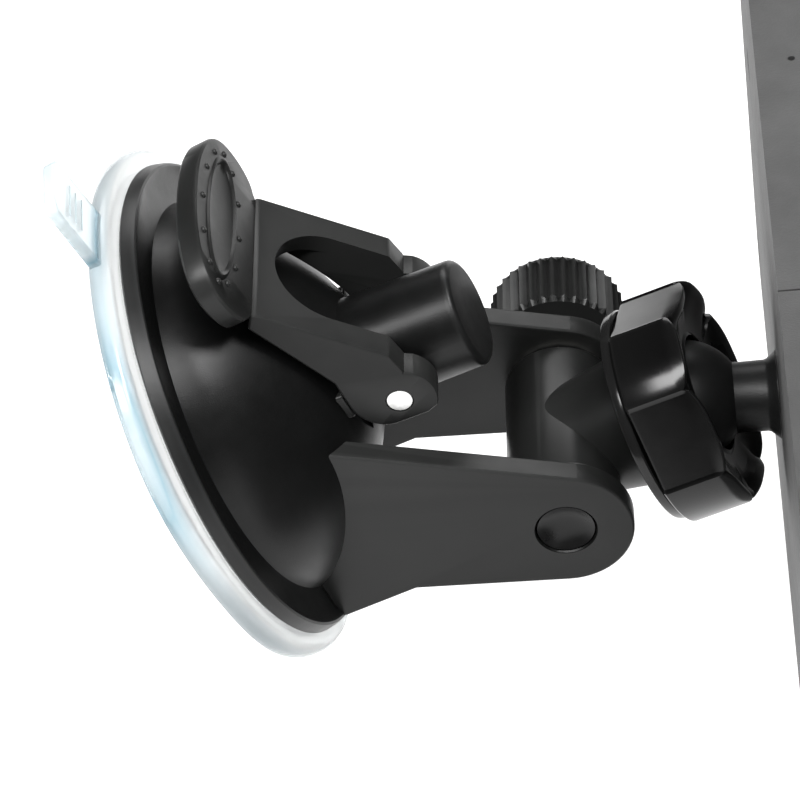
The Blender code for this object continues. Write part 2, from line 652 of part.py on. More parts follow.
def nut_outline():
    """Lobed outline of the locking nut, in (y, z): round lobes, flat valleys."""
    points = []
    for lobe in range(NUT_LOBES):
        start = NUT_LOBE_START + 2 * math.pi * lobe / NUT_LOBES
        points += arc((0.0, 0.0), NUT_RADIUS, start, start + NUT_LOBE_SPAN, 5)
    return points


def make_nut(gloss):
    """Locking nut that squeezes the collet onto the ball."""
    centre = (CLEVIS_X + BALL_REACH, 0.0, CLEVIS_Z)
    body = prism(nut_outline(), NUT_BACK + NUT_FLANGE, NUT_RIM_FRONT, "X")
    nut = solid("locking_nut", moved(body, centre), gloss, centre)
    flange = [(NUT_BACK, 0.0), (NUT_BACK, NUT_FLANGE_RADIUS - MM),
              (NUT_BACK + MM, NUT_FLANGE_RADIUS),
              (NUT_BACK + NUT_FLANGE + 0.4 * MM, NUT_FLANGE_RADIUS - 0.4 * MM),
              (NUT_BACK + NUT_FLANGE + 0.4 * MM, 0.0)]
    fuse(nut, moved(turned(flange, 40), centre))
    lip = arc((0.0, 0.0), BALL_RADIUS + 2 * GAP, math.radians(24), math.radians(68), 4)
    lip.reverse()
    bore = COLLET_RADIUS + GAP
    inside = [(NUT_BACK - MM, 0.0), (NUT_BACK - MM, bore), (COLLET_FRONT + GAP, bore)]
    inside += [(x, r) for x, r in lip if x > COLLET_FRONT + GAP and x < NUT_FRONT]
    opening = math.sqrt((BALL_RADIUS + 2 * GAP) ** 2 - NUT_FRONT ** 2)
    inside += [(NUT_FRONT, opening), (NUT_RIM_FRONT, NUT_RIM_RADIUS),
               (NUT_RIM_FRONT + MM, NUT_RIM_RADIUS), (NUT_RIM_FRONT + MM, 0.0)]
    cut(nut, moved(turned(inside, 40), centre))
    shade(nut)


def make_ball(black, steel):
    """Ball with stem and foot, its threaded stud, and the bead inside it."""
    centre = (CLEVIS_X + BALL_REACH, 0.0, CLEVIS_Z)
    holder = empty("ball_group", centre, DEVICE_TILT)
    merge = math.asin(STEM_RADIUS / BALL_RADIUS)
    profile = arc((0.0, 0.0), BALL_RADIUS, math.pi, merge, 9)
    profile[0] = (-BALL_RADIUS, 0.0)
    profile += [(STEM_FOOT_START, STEM_RADIUS), (STEM_LENGTH - GAP, STEM_FOOT_RADIUS),
                (STEM_LENGTH - GAP, 0.0)]
    ball = solid("ball_stem", turned(profile, 24), black, parent=holder)
    room = arc((0.0, 0.0), CORE_RADIUS + GAP, math.pi, math.radians(40), 8)
    room[0] = (-CORE_RADIUS - GAP, 0.0)
    room += [(4.0 * MM, room[-1][1]), (4.0 * MM, STUD_RADIUS + GAP),
             (STEM_LENGTH + MM, STUD_RADIUS + GAP), (STEM_LENGTH + MM, 0.0)]
    cut(ball, turned(room, SMALL))
    shade(ball)
    bead = arc((0.0, 0.0), CORE_RADIUS, math.pi, 0.0, 8)
    bead[0] = (-CORE_RADIUS, 0.0)
    bead[-1] = (CORE_RADIUS, 0.0)
    shade(solid("ball_core", turned(bead, SMALL), steel, parent=holder))
    stud = [(4.0 * MM + GAP, 0.0), (4.0 * MM + GAP, STUD_RADIUS - 0.3 * MM),
            (STEM_LENGTH + STUD_LENGTH, STUD_RADIUS - 0.3 * MM),
            (STEM_LENGTH + STUD_LENGTH, 0.0)]
    shade(solid("stem_stud", turned(stud, SMALL), steel, parent=holder))


def screw_places():
    """Places of the housing screws on the camera's back, in (y, z)."""
    across = BODY_WIDTH / 2 - SCREW_INSET
    up = BODY_HEIGHT / 2 - SCREW_INSET
    return {"cover_screw_1": (-across, -up), "cover_screw_2": (across, -up),
            "cover_screw_3": (-across, up), "cover_screw_4": (across - 22 * MM, up - 30 * MM)}


def make_rear_cover(shell, device):
    """Rear shell of the camera, open to the front."""
    half_w = BODY_WIDTH / 2
    half_h = BODY_HEIGHT / 2
    cover = solid("rear_cover", prism(rounded(half_w, half_h, BODY_CORNER), 0.0, COVER_DEPTH, "X"),
                  shell, parent=device)
    cut(cover, prism(rounded(half_w - WALL, half_h - WALL, BODY_CORNER - WALL), WALL,
                     COVER_DEPTH + MM, "X"))
    post_top = COVER_DEPTH - 2.4 * MM
    insert_outer = INSERT_RADIUS + GAP + BOSS_WALL
    fuse(cover, turned([(0.5 * MM, 0.0), (0.5 * MM, insert_outer), (6.2 * MM, insert_outer),
                        (6.2 * MM, 0.0)], SMALL))
    cut(cover, turned([(-MM, 0.0), (-MM, INSERT_RADIUS + GAP), (7.0 * MM, INSERT_RADIUS + GAP),
                       (7.0 * MM, 0.0)], SMALL))
    for y, z in screw_places().values():
        place = (0.0, y, z)
        post = SCREW_RADIUS + GAP + 1.6 * MM
        fuse(cover, moved(turned([(0.5 * MM, 0.0), (0.5 * MM, post), (post_top, post),
                                  (post_top, 0.0)], SMALL), place))
        cut(cover, moved(turned([(-MM, 0.0), (-MM, SCREW_HEAD_RADIUS + GAP),
                                 (SCREW_HEAD_HEIGHT + GAP, SCREW_HEAD_RADIUS + GAP),
                                 (SCREW_HEAD_HEIGHT + GAP, SCREW_RADIUS + GAP),
                                 (post_top + MM, SCREW_RADIUS + GAP), (post_top + MM, 0.0)],
                                SMALL), place))
    room = DRUM_RADIUS + 3 * GAP
    long_room = DRUM_HALF_LENGTH + GAP
    rim = [(LENS_Y - long_room - POD_RIM, LENS_Z - room - POD_RIM),
           (LENS_Y + long_room + POD_RIM, LENS_Z + room + POD_RIM)]
    fuse(cover, block((-POD_PROUD, *rim[0]), (WALL / 2, *rim[1])))
    cut(cover, block((-POD_PROUD - MM, LENS_Y - long_room, LENS_Z - room),
                     (COVER_DEPTH + MM, LENS_Y + long_room, LENS_Z + room)))
    for step in range(7):
        y = SPEAKER_Y + (step - 3) * 3.0 * MM
        half = 7.0 * MM - abs(step - 3) * 1.3 * MM
        cut(cover, block((-MM, y - 0.6 * MM, SPEAKER_Z - half),
                         (WALL + MM, y + 0.6 * MM, SPEAKER_Z + half)))
    cut(cover, block((-MM, DOOR_END, half_h - DOOR_THICKNESS - GAP),
                     (DOOR_DEPTH + GAP, DOOR_START, half_h + MM)))
    for y, width in PORTS.values():
        cut(cover, block((BOARD_X, y - width / 2 - GAP, half_h - 3 * WALL),
                         (BOARD_X + 4.2 * MM, y + width / 2 + GAP, half_h)))
    for y in BUTTON_PLACES.values():
        cut(cover, block((BUTTON_X - BUTTON_WIDTH / 2 - GAP, y - BUTTON_LENGTH / 2 - GAP,
                          half_h - 2 * WALL),
                         (BUTTON_X + BUTTON_WIDTH / 2 + GAP, y + BUTTON_LENGTH / 2 + GAP,
                          half_h + MM)))
    mic = turned([(0.0, 0.0), (0.0, PIN_HOLE), (3 * WALL, PIN_HOLE), (3 * WALL, 0.0)], 12)
    bmesh.ops.transform(mic, matrix=Matrix.Translation((MIC_X, MIC_Y, half_h - 2 * WALL))
                        @ Matrix.Rotation(-math.pi / 2, 4, "Y"), verts=mic.verts)
    cut(cover, mic)
    shade(cover)


def make_front(shell, glass, dark, device):
    """Front bezel, cover glass and display."""
    half_w = BODY_WIDTH / 2
    half_h = BODY_HEIGHT / 2
    start = COVER_DEPTH + GAP
    bezel = solid("front_bezel", prism(rounded(half_w, half_h, BODY_CORNER), start,
                                       BODY_DEPTH, "X"), shell, parent=device)
    cut(bezel, prism(rounded(SCREEN_WIDTH / 2 + GAP, SCREEN_HEIGHT / 2 + GAP, 4 * MM),
                     BODY_DEPTH - GLASS_THICKNESS - GAP, BODY_DEPTH + MM, "X"))
    cut(bezel, prism(rounded(LCD_WIDTH / 2 + GAP, LCD_HEIGHT / 2 + GAP, MM), 0.0,
                     BODY_DEPTH, "X"))
    shade(bezel)
    shade(solid("screen_glass", prism(rounded(SCREEN_WIDTH / 2, SCREEN_HEIGHT / 2, 4 * MM - GAP),
                                      BODY_DEPTH - GLASS_THICKNESS, BODY_DEPTH, "X"),
                glass, parent=device))
    back = BODY_DEPTH - GLASS_THICKNESS - GAP - LCD_THICKNESS
    solid("display_panel", block((back, -LCD_WIDTH / 2, -LCD_HEIGHT / 2),
                                 (back + LCD_THICKNESS, LCD_WIDTH / 2, LCD_HEIGHT / 2)),
          dark, parent=device)


def make_electronics(green, silver, dark, brass, device):
    """Board, battery, speaker, connectors, card and microphone."""
    board_face = BOARD_X + 4.5 * MM
    solid("main_board", block((board_face, BOARD_START, BOARD_LOW),
                              (board_face + BOARD_THICKNESS, BOARD_END, BOARD_HIGH)),
          green, parent=device)
    middle = BOARD_X + GAP + PORT_THICKNESS / 2
    low = PORT_TOP - PORT_LENGTH
    for name, (y, width) in PORTS.items():
        port = solid(name, block((BOARD_X + GAP, y - width / 2, low),
                                 (BOARD_X + GAP + PORT_THICKNESS, y + width / 2, PORT_TOP)),
                     dark if name == "audio_jack" else silver, parent=device)
        if name == "audio_jack":
            bore = moved(turned([(0.0, 0.0), (0.0, 1.3 * MM), (7 * MM, 1.3 * MM),
                                 (7 * MM, 0.0)], SMALL), (-3 * MM, 0, 0))
            bmesh.ops.transform(bore, matrix=Matrix.Translation((middle, y, PORT_TOP - 2 * MM))
                                @ Matrix.Rotation(-math.pi / 2, 4, "Y"), verts=bore.verts)
        else:
            half = width / 2 - PORT_WALL
            thick = 1.2 * MM if name == "usb_port" else 0.75 * MM
            bore = block((middle - thick, y - half, low + MM),
                         (middle + thick, y + half, PORT_TOP + MM))
        cut(port, bore)
    y, width = PORTS["card_reader"]
    half = width / 2 - PORT_WALL - GAP
    pivot = (middle, y, PORT_TOP)
    solid("memory_card", block((middle - CARD_THICKNESS / 2, y - half, PORT_TOP - CARD_LENGTH),
                               (middle + CARD_THICKNESS / 2, y + half, PORT_TOP - GAP)),
          dark, pivot, device)
    solid("battery", block((WALL + GAP, BATTERY_START, BATTERY_LOW),
                           (8.0 * MM, BATTERY_END, BATTERY_LOW + BATTERY_HEIGHT)),
          silver, parent=device)
    speaker = [(WALL + GAP, 0.0), (WALL + GAP, SPEAKER_RADIUS), (5.4 * MM, SPEAKER_RADIUS),
               (7.6 * MM, SPEAKER_RADIUS * 0.55), (7.6 * MM, 0.0)]
    shade(solid("speaker", moved(turned(speaker, 24), (0.0, SPEAKER_Y, SPEAKER_Z)), dark,
                parent=device))
    shade(solid("microphone", block((MIC_X - 1.6 * MM, MIC_Y - 2 * MM,
                                     BODY_HEIGHT / 2 - WALL - GAP - 2 * MM),
                                    (MIC_X + 1.6 * MM, MIC_Y + 2 * MM,
                                     BODY_HEIGHT / 2 - WALL - GAP)), silver, parent=device))
    insert = [(GAP, STUD_RADIUS + GAP), (GAP, INSERT_RADIUS), (6.0 * MM, INSERT_RADIUS),
              (6.0 * MM, STUD_RADIUS + GAP)]
    shade(solid("mount_insert", turned(insert, SMALL), brass, parent=device))


def make_lens(shell, black, glass, green, device):
    """Tilting lens drum with its ring, glass and sensor board."""
    centre = (DRUM_X, LENS_Y, LENS_Z)
    half = DRUM_HALF_LENGTH
    drum = [(-half, 0.0), (-half, DRUM_RADIUS - 0.4 * MM), (-half + 0.4 * MM, DRUM_RADIUS),
            (half - 0.4 * MM, DRUM_RADIUS), (half, DRUM_RADIUS - 0.4 * MM), (half, 0.0)]
    piece = solid("lens_drum", along_y(turned(drum, 36), centre), black, centre, device)
    front = DRUM_X - DRUM_RADIUS - LENS_PROUD
    fuse(piece, moved(turned([(front, 0.0), (front, LENS_RADIUS + MM), (DRUM_X - 4 * MM,
                                                                        LENS_RADIUS + MM),
                              (DRUM_X - 4 * MM, 0.0)], 28), (0.0, LENS_Y, LENS_Z)))
    cut(piece, moved(turned([(front - MM, 0.0), (front - MM, LENS_RADIUS),
                             (DRUM_X - 2 * MM, LENS_RADIUS), (DRUM_X - 2 * MM, 0.0)], 28),
                     (0.0, LENS_Y, LENS_Z)))
    cut(piece, block((DRUM_X + 3.0 * MM, LENS_Y - 6 * MM, LENS_Z - 6 * MM),
                     (DRUM_X + 12 * MM, LENS_Y + 6 * MM, LENS_Z + 6 * MM)))
    shade(piece)
    ring = [(front + 0.4 * MM, 4.2 * MM), (front + 0.4 * MM, LENS_RADIUS - GAP),
            (DRUM_X - 2 * MM - GAP, LENS_RADIUS - GAP), (DRUM_X - 2 * MM - GAP, 4.2 * MM)]
    shade(solid("lens_ring", moved(turned(ring, 28), (0.0, LENS_Y, LENS_Z)), shell, centre,
                device))
    lens = bow((front + 1.0 * MM, 0.0), (front + 1.1 * MM, 3.0 * MM),
               (front + 2.2 * MM, 4.2 * MM - GAP), 5)
    lens += [(front + 4.0 * MM, 4.2 * MM - GAP), (front + 4.0 * MM, 0.0)]
    shade(solid("lens_glass", moved(turned(lens, 24), (0.0, LENS_Y, LENS_Z)), glass, centre,
                device))
    solid("sensor_board", block((DRUM_X + 3.0 * MM + GAP, LENS_Y - 5.6 * MM, LENS_Z - 5.6 * MM),
                                (DRUM_X + 4.6 * MM, LENS_Y + 5.6 * MM, LENS_Z + 5.6 * MM)),
          green, centre, device)


def make_controls(shell, rubber, steel, device):
    """Buttons, port door and the screws in the back."""
    half_h = BODY_HEIGHT / 2
    for name, y in BUTTON_PLACES.items():
        pivot = (BUTTON_X, y, half_h)
        stem = block((BUTTON_X - BUTTON_WIDTH / 2, y - BUTTON_LENGTH / 2, half_h - WALL - MM),
                     (BUTTON_X + BUTTON_WIDTH / 2, y + BUTTON_LENGTH / 2,
                      half_h + BUTTON_PROUD))
        solid(name, stem, shell, pivot, device)
    pivot = (DOOR_DEPTH, (DOOR_START + DOOR_END) / 2, half_h)
    door = solid("port_door", block((0.0, DOOR_END + GAP, half_h - DOOR_THICKNESS),
                                    (DOOR_DEPTH, DOOR_START - GAP, half_h)), rubber, pivot, device)
    shade(door)
    for name, (y, z) in screw_places().items():
        screw = [(0.2 * MM, 0.0), (0.2 * MM, SCREW_HEAD_RADIUS),
                 (SCREW_HEAD_HEIGHT, SCREW_HEAD_RADIUS), (SCREW_HEAD_HEIGHT, SCREW_RADIUS),
                 (SCREW_LENGTH, SCREW_RADIUS), (SCREW_LENGTH, 0.0)]
        piece = solid(name, moved(turned(screw, 16), (0.0, y, z)), steel, parent=device)
        for turn in (0.0, math.pi / 2):
            cross = block((0.0, -1.5 * MM, -0.25 * MM), (0.7 * MM, 1.5 * MM, 0.25 * MM))
            bmesh.ops.transform(cross, matrix=Matrix.Translation((0.0, y, z))
                                @ Matrix.Rotation(turn, 4, "X"), verts=cross.verts)
            cut(piece, cross)
        shade(piece)


def main():
    for old in list(bpy.data.objects):
        bpy.data.objects.remove(old, do_unlink=True)
    black = look("black_plastic", (0.018, 0.019, 0.020), 0.42)
    gloss = look("gloss_plastic", (0.012, 0.012, 0.013), 0.16)
    shell = look("shell_plastic", (0.05, 0.05, 0.052), 0.55)
    clear = look("clear_gel", (0.75, 0.85, 0.88), 0.12)
    rubber = look("rubber", (0.03, 0.03, 0.032), 0.7)
    nylon = look("nylon", (0.7, 0.7, 0.68), 0.5)
    steel = look("steel", (0.72, 0.72, 0.72), 0.3, 1.0)
    brass = look("brass", (0.75, 0.6, 0.3), 0.35, 1.0)
    glass = look("screen", (0.01, 0.01, 0.012), 0.05)
    dark = look("dark_plastic", (0.03, 0.03, 0.03), 0.5)
    green = look("circuit_board", (0.02, 0.16, 0.07), 0.5)
    silver = look("silver_metal", (0.6, 0.6, 0.62), 0.35, 1.0)
    make_suction_pad(clear)
    make_housing(black)
    make_pull_rod(black, rubber, steel)
    make_lever(black)
    make_clevis(black, nylon, steel, brass)
    make_neck(black)
    make_nut(gloss)
    make_ball(black, steel)
    foot = Vector((CLEVIS_X + BALL_REACH + STEM_LENGTH * math.cos(DEVICE_TILT), 0.0,
                   CLEVIS_Z - STEM_LENGTH * math.sin(DEVICE_TILT)))
    device = empty("camera_group", foot, DEVICE_TILT)
    make_rear_cover(shell, device)
    make_front(shell, glass, dark, device)
    make_electronics(green, silver, dark, brass, device)
    make_lens(shell, black, glass, green, device)
    make_controls(shell, rubber, steel, device)


main()
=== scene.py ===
"""Looks of a dash camera on a suction-cup windscreen mount.

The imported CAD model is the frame. Its origin is the centre of the suction
pad's sealing face, +X points away from the glass, +Z is the side of the
locking lever, and Y runs along the clevis axis. Lengths are in metres.
"""
import math

import bmesh
import bpy
from mathutils import Euler, Matrix, Vector


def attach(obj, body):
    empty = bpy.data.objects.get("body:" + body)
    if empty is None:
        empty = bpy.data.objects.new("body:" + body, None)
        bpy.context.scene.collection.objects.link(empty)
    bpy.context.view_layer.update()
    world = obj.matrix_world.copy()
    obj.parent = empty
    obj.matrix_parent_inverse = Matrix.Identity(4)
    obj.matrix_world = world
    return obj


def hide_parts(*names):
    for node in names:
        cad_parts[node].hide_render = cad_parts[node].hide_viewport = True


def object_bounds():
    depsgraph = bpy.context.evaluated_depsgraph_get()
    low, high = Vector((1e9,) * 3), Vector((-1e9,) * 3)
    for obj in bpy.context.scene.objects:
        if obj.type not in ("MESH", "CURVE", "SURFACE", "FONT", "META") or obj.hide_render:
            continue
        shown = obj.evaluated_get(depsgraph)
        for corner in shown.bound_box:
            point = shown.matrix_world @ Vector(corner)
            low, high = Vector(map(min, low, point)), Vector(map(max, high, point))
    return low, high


MM = 0.001

# Main view.
VIEW_PLACE = (0.20275, -0.46049, 0.35376)
VIEW_TURN = (48.593, 26.294, -0.056)
VIEW_LENS = 201.6

# Faces above this area are shaded flat.
FLAT_AREA = 25.0 * MM * MM

# Brightness of the floor and the room.
FLOOR_GLOW = 0.92
ROOM_LIGHT = 0.035
FLOOR_RADII = (0.5, 1.2, 2.4, 4.0)
FLOOR_STEPS = 64
FLOOR_CENTRE = 0.08
FLOOR_DROP = 0.4 * MM

# Features per metre of the marks on turned metal.
METAL_GRAIN = 1800.0

# Edges that turn by more than this are rounded on the camera's parts.
BEVEL_ANGLE = math.radians(35.0)

# Cup: clear pad, housing and lever.
PAD_RADIUS = 37.3 * MM
PAD_HEIGHT = 3.3 * MM
RIM_X = 3.6 * MM
RIM_RADIUS = 34.0 * MM
TUBE_RADIUS = 7.7 * MM
TUBE_END = RIM_X + 35.5 * MM
TAB_ANGLE = math.radians(97.5)
TAB_HALF = 4.8 * MM
TAB_SLOTS = 3
PAD_STEPS = 192
PIN = Vector((28.1 * MM, 0.0, -0.5 * MM))
PIN_HALF = 12.35 * MM
PIN_ROUND = 0.15 * MM
PIN_HOLE = 1.9 * MM
CAM_REACH = 6.5 * MM
CAM_LIFT = 3.0 * MM
EAR_RADIUS = 4.9 * MM
LEVER_WALL = 2.6 * MM
CREASE = Vector((RIM_X + 13.6 * MM, 21.7 * MM))
PLATE_END = Vector((RIM_X + 26.7 * MM, 7.2 * MM))
LEVER_HALF = 12.4 * MM
LEVER_SLOT = 8.3 * MM
THUMB_TILT = math.radians(5.0)
THUMB_HALF = 16.0 * MM
THUMB_HEIGHT = 13.7 * MM
THUMB_SHOULDER = 6.0 * MM
THUMB_DEPTH = 3.2 * MM
THUMB_MIDDLE = 7.6 * MM
THUMB_PIPS = 12
THUMB_ROUNDNESS = 2.35
PIP_RADIUS = 0.52 * MM
PIP_HEIGHT = 0.42 * MM

# Clevis, neck and ball joint.
CLEVIS = Vector((39.8 * MM, 0.0, -27.7 * MM))
ARM_INNER = 13.6 * MM
ARM_OUTER = 17.1 * MM
ARM_END_RADIUS = 9.3 * MM
ARM_TOP = math.radians(-33.7)
ARM_BOTTOM = math.radians(-21.7)
BALL = CLEVIS + Vector((18.3 * MM, 0.0, 0.0))
BALL_RADIUS = 8.5 * MM
NUT_RADIUS = 16.0 * MM
NUT_LOBES = 4
NUT_SPAN = math.radians(43.0)
NUT_START = math.radians(93.0)
KNOB_TEETH = 36
KNOB_HEIGHT = 9.8 * MM
KNOB_RADIUS = 9.5 * MM
HUB_RADIUS = 6.2 * MM
TOOTH_DEPTH = 0.42 * MM
CLEVIS_BORE = 2.8 * MM
BOLT_HEAD_RADIUS = 3.98 * MM
BARREL_HALF = 12.2 * MM
NUT_STEPS = 360
STEM_RADIUS = 4.9 * MM
TILT = math.radians(20.2)


# ---------------------------------------------------------------- outlines

def arc(centre, radius, start, end, count):
    """Points on an arc, both ends included."""
    points = []
    for step in range(count + 1):
        angle = start + (end - start) * step / count
        points.append((centre[0] + radius * math.cos(angle),
                       centre[1] + radius * math.sin(angle)))
    return points


def bow(first, control, last, count):
    """Points on a quadratic curve, both ends included."""
    points = []
    for step in range(count + 1):
        t = step / count
        points.append(tuple((1 - t) ** 2 * a + 2 * t * (1 - t) * b + t * t * c
                            for a, b, c in zip(first, control, last)))
    return points


def soften(points, radius, count, limit=20.0):
    """Round the corners of an outline that turn by more than the limit in degrees."""
    total = len(points)
    result = []
    for index, point in enumerate(points):
        here = Vector(point)
        before = Vector(points[index - 1]) - here
        after = Vector(points[(index + 1) % total]) - here
        if before.length < 1e-9 or after.length < 1e-9:
            result.append(tuple(here))
            continue
        turn = math.pi - before.angle(after)
        if turn < math.radians(limit):
            result.append(tuple(here))
            continue
        reach = min(radius * math.tan(turn / 2), 0.45 * before.length, 0.45 * after.length)
        result += bow(here + before.normalized() * reach, here,
                      here + after.normalized() * reach, count)
    return [tuple(p) for p in result]


def area_sign(points):
    """1 for an outline that runs anticlockwise, -1 for the other way."""
    total = sum(a[0] * b[1] - a[1] * b[0] for a, b in zip(points, points[1:] + points[:1]))
    return 1.0 if total > 0 else -1.0


def inset(points, distance):
    """Outline moved inwards by a distance."""
    sign = area_sign(points)
    total = len(points)
    result = []
    for index, point in enumerate(points):
        here = Vector(point)
        first = (here - Vector(points[index - 1])).normalized()
        second = (Vector(points[(index + 1) % total]) - here).normalized()
        normal = Vector((-first.y - second.y, first.x + second.x)) * sign
        if normal.length < 1e-9:
            result.append(tuple(here))
            continue
        normal.normalize()
        across = Vector((-first.y, first.x)) * sign
        result.append(tuple(here + normal * distance / max(0.4, normal.dot(across))))
    return result


def rounded(half_width, half_height, radius, count=8, centre=(0.0, 0.0)):
    """Rounded rectangle outline."""
    points = []
    for sign_a, sign_b, start in ((1, 1, 0.0), (-1, 1, 0.5), (-1, -1, 1.0), (1, -1, 1.5)):
        middle = (centre[0] + sign_a * (half_width - radius),
                  centre[1] + sign_b * (half_height - radius))
        points += arc(middle, radius, start * math.pi, (start + 0.5) * math.pi, count)
    return points


# ------------------------------------------------------------------ bodies

def place_on(axis, level, a, b):
    """Point of an outline at a level: (y, z) for X, (x, z) for Y, (x, y) for Z."""
    return {"X": (level, a, b), "Y": (a, level, b), "Z": (a, b, level)}[axis]


def skin(bm, loops, closed_ends=True):
    """Join loops of the same length with faces, and close the ends."""
    rings = []
    for loop in loops:
        rings.append([bm.verts.new(p) for p in loop])
    count = len(rings[0])
    for one, two in zip(rings, rings[1:]):
        for step in range(count):
            after = (step + 1) % count
            bm.faces.new((one[step], one[after], two[after], two[step]))
    if closed_ends:
        bm.faces.new(list(reversed(rings[0])))
        bm.faces.new(rings[-1])
    return rings


def plate(outline, low, high, edge, axis="Y", steps=3):
    """Outline extruded along an axis with its edges rounded."""
    levels = []
    for step in range(steps + 1):
        angle = math.pi / 2 * step / steps
        levels.append((low + edge * (1 - math.sin(angle)), edge * (1 - math.cos(angle))))
    levels.reverse()
    levels += [(low + high - level, depth) for level, depth in reversed(levels)]
    loops = []
    for level, depth in levels:
        loop = inset(outline, depth) if depth > 1e-9 else outline
        loops.append([place_on(axis, level, a, b) for a, b in loop])
    bm = bmesh.new()
    skin(bm, loops)
    return bm


def join_rings(bm, pairs):
    """Faces between pairs of rings; a ring of one vertex is a pole."""
    for one, two in pairs:
        steps = max(len(one), len(two))
        if steps == 1:
            continue
        for step in range(steps):
            after = (step + 1) % steps
            if len(one) == 1:
                corners = (one[0], two[after], two[step])
            elif len(two) == 1:
                corners = (one[step], one[after], two[0])
            else:
                corners = (one[step], one[after], two[after], two[step])
            bm.faces.new(corners)


def turned(profile, steps):
    """Body turned about X from a loop of (along, radius) points."""
    bm = bmesh.new()
    rings = []
    for along, radius in profile:
        if radius < 1e-7:
            rings.append([bm.verts.new((along, 0.0, 0.0))])
            continue
        ring = []
        for step in range(steps):
            angle = 2 * math.pi * step / steps
            ring.append(bm.verts.new((along, radius * math.cos(angle),
                                      radius * math.sin(angle))))
        rings.append(ring)
    pairs = list(zip(rings, rings[1:]))
    if len(rings[0]) > 1 and len(rings[-1]) > 1:
        pairs.append((rings[-1], rings[0]))
    join_rings(bm, pairs)
    return bm


def moved(bm, place, turn=None):
    """Turn a body, then move it."""
    matrix = Matrix.Translation(Vector(place))
    if turn is not None:
        matrix = matrix @ turn
    bmesh.ops.transform(bm, matrix=matrix, verts=bm.verts)
    return bm


ALONG_Y = Matrix.Rotation(math.pi / 2, 4, "Z")


def block(low, high):
    """Box between two corners."""
    outline = [(low[0], low[1]), (high[0], low[1]), (high[0], high[1]), (low[0], high[1])]
    bm = bmesh.new()
    skin(bm, [[(a, b, level) for a, b in outline] for level in (low[2], high[2])])
    return bm


def merged(*bodies):
    """Several closed bodies as one, with no Boolean."""
    result = bmesh.new()
    for bm in bodies:
        mesh = bpy.data.meshes.new("part")
        bm.to_mesh(mesh)
        result.from_mesh(mesh)
        bm.free()
        bpy.data.meshes.remove(mesh)
    return result


def as_object(name, bm):
    """Object in the scene made from a body, which is freed."""
    mesh = bpy.data.meshes.new(name)
    bm.to_mesh(mesh)
    bm.free()
    obj = bpy.data.objects.new(name, mesh)
    bpy.context.scene.collection.objects.link(obj)
    return obj


def discard(obj):
    """Remove an object and its mesh."""
    mesh = obj.data
    bpy.data.objects.remove(obj)
    bpy.data.meshes.remove(mesh)


def as_body(obj):
    """Body made from an object, which is removed."""
    bm = bmesh.new()
    bm.from_mesh(obj.data)
    discard(obj)
    return bm


def piece(name, bm, material, body, nodes=(), smooth=35.0):
    """Object with its material, riding on a CAD body and standing for CAD nodes."""
    bmesh.ops.recalc_face_normals(bm, faces=bm.faces)
    obj = as_object(name, bm)
    obj.data.materials.append(material)
    finish_shading(obj, smooth)
    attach(obj, body)
    if nodes:
        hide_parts(*nodes)


def finish_shading(obj, smooth):
    """Smooth shading with sharp edges kept; large faces stay flat."""
    obj.data.shade_smooth()
    obj.data.set_sharp_from_angle(angle=math.radians(smooth))
    for face in obj.data.polygons:
        if face.area > FLAT_AREA:
            face.use_smooth = False


def apply_modifiers(obj):
    """Replace an object's mesh by its evaluated one."""
    bpy.context.view_layer.update()
    graph = bpy.context.evaluated_depsgraph_get()
    result = bpy.data.meshes.new_from_object(obj.evaluated_get(graph))
    obj.modifiers.clear()
    old = obj.data
    obj.data = result
    bpy.data.meshes.remove(old)


def carve(bm, cutters):
    """Body with others cut away from it."""
    bmesh.ops.recalc_face_normals(bm, faces=bm.faces)
    obj = as_object("carve", bm)
    tools = []
    for cutter in cutters:
        bmesh.ops.recalc_face_normals(cutter, faces=cutter.faces)
        tool = as_object("tool", cutter)
        tools.append(tool)
        change = obj.modifiers.new("change", "BOOLEAN")
        change.operation = "DIFFERENCE"
        change.solver = "EXACT"
        change.object = tool
    apply_modifiers(obj)
    for tool in tools:
        discard(tool)
    return as_body(obj)


def bevelled(bm, width, segments):
    """Body with its sharp edges rounded."""
    bmesh.ops.remove_doubles(bm, verts=bm.verts, dist=1e-6)
    bmesh.ops.dissolve_limit(bm, angle_limit=math.radians(1.0), verts=bm.verts, edges=bm.edges)
    obj = as_object("bevel", bm)
    change = obj.modifiers.new("bevel", "BEVEL")
    change.width = width
    change.segments = segments
    change.limit_method = "ANGLE"
    change.angle_limit = BEVEL_ANGLE
    change.use_clamp_overlap = True
    change.miter_outer = "MITER_ARC"
    apply_modifiers(obj)
    return as_body(obj)


def from_node(node):
    """Copy of a CAD node's mesh."""
    bm = bmesh.new()
    bm.from_mesh(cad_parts[node].data)
    return bm


# --------------------------------------------------------------- materials

def nodes_of(name):
    """New node material: the material, its tree and its shader."""
    material = bpy.data.materials.new(name)
    material.use_nodes = True
    tree = material.node_tree
    return material, tree, tree.nodes["Principled BSDF"]


def noise(tree, scale, detail=3.0, roughness=0.5):
    """Noise over object coordinates, in features per metre."""
    place = tree.nodes.new("ShaderNodeTexCoord")
    texture = tree.nodes.new("ShaderNodeTexNoise")
    texture.inputs["Scale"].default_value = scale
    texture.inputs["Detail"].default_value = detail
    texture.inputs["Roughness"].default_value = roughness
    tree.links.new(place.outputs["Object"], texture.inputs["Vector"])
    return texture.outputs["Fac"]


